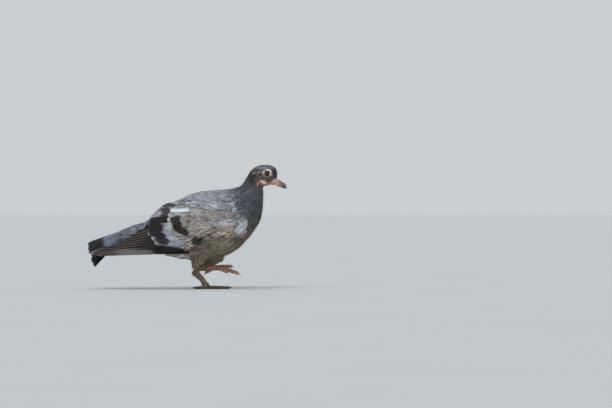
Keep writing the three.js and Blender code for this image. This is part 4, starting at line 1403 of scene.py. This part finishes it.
LIMB_SPAN = 42  # the length that each limb's part of the bake map takes in, in millimetres


def skin_map(thing):
    """Unwraps the skin by its own shape: the body along its spine, and each limb round its own axis."""
    corners, faces = read_mesh(thing)
    loops = np.concatenate(faces)
    sizes = np.array([len(face) for face in faces])
    middles = np.add.reduceat(corners[loops], np.concatenate([[0], np.cumsum(sizes)[:-1]])) / sizes[:, None]
    island = np.full(len(faces), -1)
    low = middles[:, 2] < LEG_TOP
    low[low] = bareness(middles[low], 0.3, 1.2) > 0.5
    island[low] = nearest_limb(middles[low])
    of_loop = np.repeat(island, sizes)
    places = np.zeros((len(loops), 2))
    body = of_loop < 0
    places[body] = body_map(corners[loops[body]])
    for number, name in enumerate(LIMB_NODES):
        mine = of_loop == number
        middle, way = limb_axes()[name]
        gap = corners[loops[mine]] - middle
        side = unit(np.cross(way, [0.1, 1.0, 0.2]))
        up = np.cross(way, side)
        round_it = np.arctan2(gap @ side, gap @ up) / (2 * math.pi) + 0.5
        places[mine] = np.stack([0.5 + gap @ way / LIMB_SPAN, round_it], axis=1)
    starts = np.concatenate([[0], np.cumsum(sizes)[:-1]])
    highest = np.maximum.reduceat(places[:, 1], starts)
    lowest = np.minimum.reduceat(places[:, 1], starts)
    wraps = np.repeat(highest - lowest > 0.5, sizes)
    places[:, 1] += wraps & (places[:, 1] < 0.5)
    limb = of_loop >= 0
    column, line = of_loop % 5, of_loop // 5
    limb_u = 0.01 + (column + 0.02 + 0.94 * np.clip(places[:, 0], 0, 1)) * 0.196
    limb_v = 0.01 + (line + 0.9 * places[:, 1] / 1.1) * 0.13
    places[:, 0] = np.where(limb, limb_u, places[:, 0])
    places[:, 1] = np.where(limb, limb_v, mix(*BODY_BAND, places[:, 1] / 1.02))
    thing.data.uv_layers.new(name="OFBake").uv.foreach_set("vector", places.ravel())


def grow_skin():
    """One skin over head, neck, trunk and legs, under the feathers, with lids, cere and scutes."""
    coverts = [f"wing_{side}_coverts" for side in SIDES]
    flesh = [*BODY_NODES, *BARE_NODES]
    skin = copy_nodes([*flesh, *coverts, *EYE_NODES], "skin")
    take(skin, bill_root())
    bpy.ops.object.join()
    remesh(skin, SKIN_CELL)
    corners = read_mesh(skin)[0]
    bare = bareness(corners)
    corners = relax(fill_chin(corners), edge_pairs(skin), 10, 1 - 0.75 * bare)
    write_corners(skin, corners)
    normals = corner_normals(skin)
    depth = np.interp(along_spine(corners)[0], *COAT_DEPTH.T) * (1 - bare)
    depth *= mix(0.35, 1.0, ease(40, 60, corners[:, 2]))
    form = Form(skin)
    room = form.first_hits(corners - normals * 0.05, -normals)
    depth = np.minimum(depth, 0.35 * np.nan_to_num(room, nan=20.0))
    write_corners(skin, relax(corners - normals * depth[:, None], edge_pairs(skin), 6, 1 - bare))
    corners = read_mesh(skin)[0]
    refine(skin, (bareness(corners) > 0.1) | ((corners[:, 0] > 66) & (corners[:, 2] > 139)))
    corners = read_mesh(skin)[0]
    eye_gap = np.hypot(corners[:, 0] - EYE[0], corners[:, 2] - EYE[2])
    face = ((eye_gap < 7.3) & (np.abs(corners[:, 1]) > 4)) | ((corners[:, 0] > 88) & (corners[:, 2] > 141))
    refine(skin, (bareness(corners) > 0.5) | face)
    corners = read_mesh(skin)[0]
    eye_gap = np.hypot(corners[:, 0] - EYE[0], corners[:, 2] - EYE[2])
    refine(skin, (eye_gap < 5.6) & (np.abs(corners[:, 1]) > 4))
    corners = relax(read_mesh(skin)[0], edge_pairs(skin), 6)
    bare = bareness(corners, 1.0, 2.2)
    on_bare = bare > 0.02
    true_place, _ = bare_form().nearest(corners[on_bare])
    corners[on_bare] = mix(corners[on_bare], true_place, bare[on_bare][:, None])
    corners = shape_mouth(shape_lids(corners))
    write_corners(skin, corners)
    normals = corner_normals(skin)
    corners = shape_cere(corners, normals)
    feet = on_bare & (corners[:, 2] < LEG_TOP)
    out, _ = scutes(corners[feet], normals[feet])
    out = out + FOOT_GROWTH
    corners[feet] = taper_toes(corners[feet] + normals[feet] * (out * bare[feet])[:, None])
    corners[:, 2] = np.maximum(corners[:, 2], FLOOR_GAP)
    write_corners(skin, corners)
    set_colours(skin, "tint", skin_colour(corners, corner_normals(skin)))
    skin_map(skin)
    return finish_piece(skin, skin_material(), "pink_scales", *flesh)


# ---------- Eyes, bill and claws ----------

GAZE = (0.2, -0.06)  # how far each eye looks ahead and up, for each part that it looks outwards
IRIS, PUPIL = 3.9, 1.9  # radii across the front of the eye, in millimetres


def make_eye(side):
    """An eyeball with a bulging cornea, a streaked brown iris and a round pupil."""
    sign = SIDES[side]
    gaze = unit(np.array([GAZE[0], sign, GAZE[1]]))
    deselect()
    bpy.ops.mesh.primitive_uv_sphere_add(
        segments=64, ring_count=72, radius=EYE_RADIUS * MM,
        location=Vector((BALL + [EYE[0], sign * EYE[1], EYE[2]]) * MM),
        rotation=Vector(gaze).to_track_quat("Z", "Y").to_euler())
    eye = bpy.context.object
    eye.name = eye.data.name = f"eyeball_{side}"
    bpy.ops.object.transform_apply(location=True, rotation=True, scale=True)
    bpy.ops.object.shade_smooth()
    corners = read_mesh(eye)[0]
    out = unit(corners - [EYE[0], sign * EYE[1], EYE[2]])
    ahead = out @ gaze
    off = EYE_RADIUS * np.sqrt(np.maximum(1 - ahead ** 2, 0)) + 10 * (ahead < 0)
    write_corners(eye, corners + out * (0.35 * (1 - ease(0, IRIS, off)))[:, None] - out * 0.12)
    brown = np.array(bpy.context.scene.pigeon_face.iris_colour)
    iris = mix(brown, brown * 0.3, ease(IRIS * 0.62, IRIS, off)[:, None])
    tint = mix(linear("#020202"), iris, ease(PUPIL * 0.97, PUPIL * 1.05, off)[:, None])
    set_colours(eye, "tint", mix(tint, linear("#2b201c"), ease(IRIS, IRIS * 1.05, off)[:, None]))
    return finish_piece(eye, eye_material(), "wet_eye", f"eye_{side}")


BILL_GROWTH = 0.14  # brings both halves of the bill together, in millimetres
# The line where they meet, x and z; bands from root to tip: colour, where it begins and is full, strength.
BILL_EDGE = [(89, 147.2), (94, 146.3), (99, 145), (103.4, 143), (107.2, 141.4), (111, 138.2)]
BILL_BANDS = [("#8d7a77", 98, 102.5, 1.0), ("#54575f", 101.5, 106.5, 1.0), ("#7e7a7c", 109, 112, 1.0)]


def make_bill(part):
    """One half of the bill: pinkish soft skin at its root turning to a blue-grey hooked tip."""
    name = f"bill_{part}"
    bill = copy_nodes([name], f"horn_{name}")
    remesh(bill, HORN_CELL)
    write_corners(bill, relax(read_mesh(bill)[0], edge_pairs(bill), 14))
    normals = corner_normals(bill)
    corners = read_mesh(bill)[0] + normals * BILL_GROWTH
    edge = np.interp(corners[:, 0], *np.array(BILL_EDGE).T)
    above = corners[:, 2] - edge
    if part == "lower":
        corners[:, 2] += 0.6 * ease(-1.4, -0.2, above) * (1 - ease(109.6, 111, corners[:, 0]))
    groove = -0.16 * np.exp(-((np.abs(above) - 1.0) / 0.28) ** 2) * (np.abs(corners[:, 1]) > 0.6)
    slit = 0.0
    if part == "upper":
        slit = -0.5 * np.exp(-((corners[:, 0] - 102.6) / 1.8) ** 2 - ((corners[:, 2] - 146.6) / 0.5) ** 2)
    wear = 0.08 * (grain(corners * [0.5, 1, 1], 0.8, 29) - 0.5)
    corners = corners + normals * (groove + slit + wear)[:, None]
    write_corners(bill, corners)
    ahead = corners[:, 0]
    tint = banded("#c89e8c", BILL_BANDS, ahead)
    near_edge = (1 - ease(0.3, 1.5, np.abs(above))) * (1 - ease(101.5, 107.5, ahead))
    tint = mix(tint, linear("#c9826a"), 0.85 * near_edge[:, None])
    # Dark under the lobe of the cere, in the nostril slit: painted shade.
    off_lobe = ahead - 102.4
    nostril_shade = np.exp(-(off_lobe / 1.9) ** 2 - ((corners[:, 2] - 146.8 + 0.4 * off_lobe) / 0.75) ** 2)
    tint = mix(tint, linear("#2e2423"), 0.85 * nostril_shade[:, None])
    set_colours(bill, "tint", tint * (0.85 + 0.3 * grain(corners, 1.2, 31))[:, None])
    return finish_piece(bill, horn_material(), "bill_horn", name)


CLAW_GROWTH = 1.14  # how much each claw is grown about its tip, so that its root is well inside the toe


# The colours of each foot's claws, at the root and at the point. The standing right foot's are dark: painted
# shade under the body.
CLAW_TINTS = {"right": ("#4b4340", "#2c2726"), "left": ("#8a6c62", "#c9b6a4")}


def make_claw(side, toe):
    """A curved claw, flattened below, that grows out of the end of its toe."""
    name = f"claw_{side}_{toe}"
    claw = copy_nodes([name], f"horn_{name}")
    remesh(claw, HORN_CELL)
    corners = relax(read_mesh(claw)[0], edge_pairs(claw), 10)
    gap = away_from(corners, f"toe_{side}_{toe}")
    tip = corners[gap.argmax()]
    corners = tip + (corners - tip) * CLAW_GROWTH
    corners[:, 2] = np.maximum(corners[:, 2], FLOOR_GAP)
    write_corners(claw, corners)
    along = np.clip(gap / gap.max(), 0, 1)
    root, point = map(linear, CLAW_TINTS[side])
    tint = mix(root, point, ease(0.2, 0.9, along)[:, None]) * (0.8 + 0.4 * grain(corners, 1.1, 33))[:, None]
    set_colours(claw, "tint", tint)
    return finish_piece(claw, horn_material(), "claw_horn", name)


# ---------- The user's own settings ----------


class PigeonPlumage(bpy.types.PropertyGroup):
    """Sizes and colours of the coat."""

    feather_length: FloatProperty(
        name="Feather length", description="Length of contour feathers against their natural one",
        default=1.0, min=0.7, max=1.3, subtype="FACTOR")
    fray: FloatProperty(
        name="Fray", description="How unevenly the edges of contour feathers are worn",
        default=0.1, min=0.0, max=0.3, subtype="FACTOR")
    wisps: FloatProperty(
        name="Wisps", description="Share of feathers with a loose barb beside them",
        default=0.5, min=0.0, max=1.0, subtype="FACTOR")
    shaft_colour: FloatVectorProperty(
        name="Shafts", description="Colour of the feathers' shafts", default=linear("#4c443f"),
        min=0.0, max=1.0, subtype="COLOR")
    white_colour: FloatVectorProperty(
        name="White covert", description="Colour of the one white feather of the right wing",
        default=linear("#ced7de"), min=0.0, max=1.0, subtype="COLOR")


class PigeonFace(bpy.types.PropertyGroup):
    """Sizes and colours of the eyes and the skin round them."""

    lid_width: FloatProperty(
        name="Open width", description="Width of the open eye between its lids",
        default=6.1 * MM, min=4 * MM, max=9 * MM, unit="LENGTH", precision=4)
    lid_height: FloatProperty(
        name="Open height", description="Height of the open eye between its lids",
        default=7.4 * MM, min=4 * MM, max=9 * MM, unit="LENGTH", precision=4)
    ring_width: FloatProperty(
        name="Eye ring", description="Width of the bare ring round the eye, across both sides",
        default=13.4 * MM, min=9 * MM, max=16 * MM, unit="LENGTH", precision=4)
    iris_colour: FloatVectorProperty(
        name="Iris", description="Colour of the iris near the pupil", default=linear("#4a2b1a"),
        min=0.0, max=1.0, subtype="COLOR")


class PigeonStage(bpy.types.PropertyGroup):
    """The studio floor, light and camera."""

    floor_colour: FloatVectorProperty(
        name="Floor", description="Colour of the pale floor", default=linear("#c3c6c8"),
        min=0.0, max=1.0, subtype="COLOR")
    view_width: FloatProperty(
        name="View width", description="Width of the view at the bird", default=0.8446, min=0.3, max=3.0,
        unit="LENGTH")
    view_distance: FloatProperty(
        name="Camera distance", description="Distance from the camera to the middle of the bird",
        default=4.5, min=1.0, max=20.0, unit="LENGTH")
    key_strength: FloatProperty(
        name="Key light", description="Strength of the soft light from above the camera",
        default=1.75, min=0.0, max=20.0)
    air_strength: FloatProperty(
        name="Air light", description="Strength of the pale light from all round", default=1.1, min=0.0,
        max=20.0)


# ---------- Operators ----------


class PIGEON_OT_skin(bpy.types.Operator):
    """Grow one skin over the head, neck, trunk and legs"""

    bl_idname = "pigeon.skin"
    bl_label = "Skin"

    def execute(self, context):
        grow_skin()
        return {"FINISHED"}


class PIGEON_OT_eyes(bpy.types.Operator):
    """Set both eyes between their lids"""

    bl_idname = "pigeon.eyes"
    bl_label = "Eyes"

    def execute(self, context):
        for side in SIDES:
            make_eye(side)
        return {"FINISHED"}


class PIGEON_OT_horn(bpy.types.Operator):
    """Make both halves of the bill and the eight claws"""

    bl_idname = "pigeon.horn"
    bl_label = "Bill and claws"

    def execute(self, context):
        for part in ("upper", "lower"):
            make_bill(part)
        for side in SIDES:
            for toe in TOES:
                make_claw(side, toe)
        return {"FINISHED"}


WIDE_VANE = (-1, -0.55, 0, 0.55, 1)
NARROW_VANE = (-1, 0, 1)

# Coats of small feathers. Length and width are against the usual ones, turn is how far a feather strays from
# the lie, blunt how square its tip is, rim its edge's colour and strength, over_wing how far it lies over the
# wing, loose how far it stands off, and streak how much feathers differ in tone.
COATS = {
    "head_feathers": {
        "finish": fine_feather, "slot": "slate_plumage", "steps": 5, "columns": NARROW_VANE, "length": 1.15,
        "width": 0.8, "turn": 0.22, "blunt": 1.5, "widest": 0.45, "rim": ("#8d8a8c", 0.1), "streak": 0.3,
        "loose": 0.03,
    },
    "neck_feathers": {
        "finish": fine_feather, "slot": "slate_plumage", "steps": 6, "columns": NARROW_VANE, "length": 1.1,
        "width": 0.85, "turn": 0.2, "blunt": 1.4, "widest": 0.4, "rim": ("#8f9096", 0.15), "streak": 0.35,
        "loose": 0.03,
    },
    "breast_feathers": {
        "finish": fine_feather, "slot": "grey_brown_plumage", "steps": 7, "columns": NARROW_VANE,
        "length": 1.05, "width": 0.85, "turn": 0.24, "blunt": 1.4, "widest": 0.42, "rim": ("#a39c92", 0.15),
        "streak": 0.3, "over_wing": 1.3, "loose": 0.03,
    },
    "belly_feathers": {
        "finish": fine_feather, "slot": "grey_brown_plumage", "steps": 7, "columns": NARROW_VANE,
        "length": 1.0, "width": 0.8, "turn": 0.26, "blunt": 1.4, "widest": 0.42, "rim": ("#a89f92", 0.15),
        "streak": 0.3, "over_wing": 1.6, "loose": 0.035,
    },
    "mantle_feathers": {
        "finish": contour_feather, "slot": "grey_brown_plumage", "steps": 9, "columns": WIDE_VANE,
        "length": 1.05, "width": 1.0, "turn": 0.13, "blunt": 2.2, "rim": ("#b6b9c4", 0.22), "over_wing": 1.5,
        "rounded": 1.6,
    },
    "lesser_coverts": {
        "finish": contour_feather, "slot": "grey_brown_plumage", "steps": 7, "columns": WIDE_VANE,
        "length": 1.0, "width": 0.8, "turn": 0.2, "blunt": 1.9, "rim": ("#c0b8b2", 0.25), "over_wing": 1.0,
        "loose": 0.012, "streak": 0.16, "rounded": 1.7,
    },
    "tail_covert_feathers": {
        "finish": contour_feather, "slot": "blue_grey_quills", "steps": 9, "columns": WIDE_VANE,
        "length": 1.25, "width": 1.0, "turn": 0.06, "blunt": 2.2, "rim": ("#a9abb2", 0.15), "rounded": 1.6,
    },
    "shank_feathers": {
        "finish": fine_feather, "slot": "grey_brown_plumage", "steps": 6, "columns": NARROW_VANE,
        "length": 0.5, "width": 0.42, "turn": 0.28, "blunt": 1.4, "widest": 0.4, "rim": ("#a39683", 0.2),
        "streak": 0.3, "loose": 0.04,
    },
}

# Loose barbs: share of the feathers that have one, length, half width, colour, its strength and how far they
# stand off.
WISPS = {
    "head_feathers": (0.45, 3.0, 0.06, "#b3aaa2", 0.45, 0.35),
    "neck_feathers": (1.0, 8.5, 0.11, "#b4b4b8", 0.55, 0.52),
    "breast_feathers": (1.0, 11.0, 0.13, "#c4baa6", 0.5, 0.46),
    "belly_feathers": (1.0, 10.0, 0.12, "#c0b498", 0.5, 0.35),
    "mantle_feathers": (0.3, 8.0, 0.09, "#b9bac2", 0.4, 0.3),
    "lesser_coverts": (0.9, 7.0, 0.09, "#c2b9b0", 0.5, 0.3),
    "shank_feathers": (1.0, 6.5, 0.12, "#c4b59c", 0.5, 0.4),
}

# Strands on the bare legs: limbs, strands on each, length, half width, colour and how far the ends stand off.
STRANDS = [
    (["tarsus_right"], 420, 8.5, 0.26, "#a3937f", 2.6),
    # The standing right foot's toe strands are dark: painted shade under the body.
    ([f"toe_right_{toe}" for toe in TOES], 80, 4.5, 0.16, "#4a4138", 1.0),
    (["tarsus_left"], 110, 5.5, 0.18, "#8a7a64", 1.4),
    ([f"toe_left_{toe}" for toe in TOES], 70, 5.0, 0.17, "#8d8362", 1.4),
]


def along_limb(name, places):
    """The way from a limb's root to its end, at each of the places."""
    return np.broadcast_to(limb_axes()[name][1], places.shape)


def grow_strands():
    """Grows thin worn feather strands over the tarsi and toes."""
    coat = Coat("leg_strands")
    rng = np.random.default_rng(61)
    for names, count, length, half, colour, loose in STRANDS:
        for name in names:
            corners = read_mesh(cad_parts[name])[0]
            roots, normals = bare_form().nearest(corners[rng.integers(0, len(corners), count)])
            reach = length * rng.uniform(0.5, 1.2, count)
            spin = rng.normal(0, 0.5, count)
            ways = functools.partial(along_limb, name)
            share = np.linspace(0, 1, 5)
            lines, outs = lay_lines(bare_form(), roots, normals, reach, share, spin, ways)
            rise = 0.6 + loose * rng.uniform(0, 1, count)[:, None] ** 1.5 * share ** 0.7
            lines = lines + outs * rise[..., None]
            lines[..., 2] = np.maximum(lines[..., 2], 0.3)
            width = half * (1 - 0.8 * share)[None] * rng.uniform(0.6, 1.5, (count, 1))
            shown = linear(colour) * rng.uniform(0.4, 1.5, (count, 1))
            tint = np.repeat(shown[:, None], 5, axis=1)
            coat.add_vanes(lines, outs, width, NARROW_VANE, 0.3, half, tint, tint, root_patches(roots))
    coat.build(fine_feather(), "grey_brown_plumage")


# Outlines seen from the side, in millimetres, of the flank feathers and the scapulars that lie over the wing.
FLANK = [(66, 76), (40, 78), (0, 79), (-12, 76), (-21, 69), (-26, 58), (-22, 40), (66, 40)]
SCAPULARS = [
    (48, 128), (44, 118), (26, 113), (2, 110.5), (-14, 113.5), (-24, 117), (-50, 121), (-30, 140), (30, 140),
]
LAST_LESSER = -17  # where the small coverts end


def coat_roots():
    """Which of the contour feathers' roots each coat of small feathers grows from."""
    roots, _, tract = feather_roots()
    station, turn = along_spine(roots)
    wing = np.isin(tract, ("wing", "quills"))
    flank = wing & inside(roots[:, 0], roots[:, 2], FLANK)
    scapular = wing & ~flank & inside(roots[:, 0], roots[:, 2], SCAPULARS)
    tail = (tract == "tail") & (roots[:, 0] > -108) | (tract == "body") & (station < 1.2)
    body = (tract == "body") & ~tail
    face = np.abs(wing_face("right", roots[:, 0], roots[:, 2], 0.0)[:, 1])
    beside = (np.abs(roots[:, 0] + 62) < 22) & (roots[:, 2] < 80) & (np.abs(roots[:, 1]) > face - 7)
    body &= ~beside
    under = body & (turn > 72) | flank
    return {
        "head_feathers": body & (station > HEAD),
        "neck_feathers": body & (station > NECK) & (station <= HEAD),
        "breast_feathers": under & (station > 5.6) & (station <= NECK),
        "belly_feathers": under & (station <= 5.6),
        "mantle_feathers": body & (station <= NECK) & (turn <= 72) | scapular,
        "lesser_coverts": wing & ~flank & ~scapular & (roots[:, 0] > LAST_LESSER),
        "tail_covert_feathers": tail,
        "shank_feathers": tract == "shank",
    }


class PIGEON_OT_coat(bpy.types.Operator):
    """Grow the small feathers of the head, neck, breast, belly, back, wings, tail root and shanks"""

    bl_idname = "pigeon.coat"
    bl_label = "Contour feathers"

    def execute(self, context):
        wisps = context.scene.pigeon_plumage.wisps * 2
        for seed, (name, form) in enumerate(COATS.items()):
            coat = Coat(name)
            chosen = coat_roots()[name]
            grow_contours(coat, chosen, 100 + seed, form)
            if name in WISPS:
                share, *wisp = WISPS[name]
                roots, normals, _ = [values[chosen] for values in feather_roots()]
                kept = np.random.default_rng(200 + seed).random(len(roots)) < share * wisps
                grow_wisps(coat, outer_form(), roots[kept], normals[kept], 300 + seed, *wisp)
            coat.build(form["finish"](), form["slot"])
        grow_strands()
        return {"FINISHED"}


class PIGEON_OT_wings(bpy.types.Operator):
    """Lay the long feathers and the rows of coverts over both folded wings"""

    bl_idname = "pigeon.wings"
    bl_label = "Folded wings"

    def execute(self, context):
        for side in SIDES:
            for kind in WING_ROWS:
                wing_row(side, kind)
        return {"FINISHED"}


class PIGEON_OT_tail(bpy.types.Operator):
    """Fan out the twelve long feathers of the tail"""

    bl_idname = "pigeon.tail"
    bl_label = "Tail"

    def execute(self, context):
        grow_tail()
        return {"FINISHED"}


class PIGEON_OT_stage(bpy.types.Operator):
    """Set the pale floor, the soft lights and the camera"""

    bl_idname = "pigeon.stage"
    bl_label = "Studio"

    def execute(self, context):
        settings = context.scene.pigeon_stage
        deselect()
        bpy.ops.mesh.primitive_plane_add(size=60, location=(0, 0, 0))
        floor = context.object
        floor.name = "studio_floor"
        floor.data.materials.append(floor_material())
        view_x, view_z = (BALL[0] + 138.0) * MM, 117.3 * MM
        deselect()
        bpy.ops.object.camera_add(
            location=(view_x, -settings.view_distance, view_z), rotation=(math.pi / 2, 0, 0))
        camera = context.object
        camera.name = "studio_camera"
        camera.data.sensor_width = 36
        camera.data.lens = 36 * settings.view_distance / settings.view_width
        camera.data.clip_end = 100
        context.scene.camera = camera
        deselect()
        bpy.ops.object.light_add(type="SUN", rotation=(math.radians(38), math.radians(-16), 0))
        sun = context.object
        sun.name = "soft_key"
        sun.data.angle = math.radians(40)
        sun.data.energy = settings.key_strength
        sun.data.color = (0.96, 0.985, 1.0)
        world = bpy.data.worlds.new("studio_air")
        context.scene.world = world
        world.use_nodes = True
        background = world.node_tree.nodes["Background"]
        background.inputs["Color"].default_value = rgba(settings.floor_colour)
        background.inputs["Strength"].default_value = settings.air_strength
        context.scene.view_settings.view_transform = "Standard"
        return {"FINISHED"}


class PIGEON_PT_panel(bpy.types.Panel):
    """The pigeon's settings and the steps that make it"""

    bl_idname = "PIGEON_PT_panel"
    bl_label = "Pigeon"
    bl_space_type = "VIEW_3D"
    bl_region_type = "UI"
    bl_category = "Pigeon"

    def draw(self, context):
        for name, group in SETTINGS.items():
            box = self.layout.box()
            for field in group.__annotations__:
                box.prop(getattr(context.scene, name), field)
        for step in STEPS:
            self.layout.operator(step.bl_idname)


SETTINGS = {"pigeon_plumage": PigeonPlumage, "pigeon_face": PigeonFace, "pigeon_stage": PigeonStage}
STEPS = [PIGEON_OT_stage, PIGEON_OT_skin, PIGEON_OT_eyes, PIGEON_OT_horn, PIGEON_OT_wings, PIGEON_OT_tail,
         PIGEON_OT_coat]


def register():
    """Registers the settings, the steps and the panel."""
    for kind in [*SETTINGS.values(), *STEPS, PIGEON_PT_panel]:
        bpy.utils.register_class(kind)
    for name, group in SETTINGS.items():
        setattr(bpy.types.Scene, name, PointerProperty(type=group))


def unregister():
    """Takes everything that register added away again."""
    for name in SETTINGS:
        delattr(bpy.types.Scene, name)
    for kind in reversed([*SETTINGS.values(), *STEPS, PIGEON_PT_panel]):
        bpy.utils.unregister_class(kind)


def main():
    """Makes the whole pigeon."""
    register()
    bpy.ops.pigeon.stage()
    bpy.ops.pigeon.skin()
    bpy.ops.pigeon.eyes()
    bpy.ops.pigeon.horn()
    bpy.ops.pigeon.wings()
    bpy.ops.pigeon.tail()
    bpy.ops.pigeon.coat()


if __name__ == "__main__":
    main()
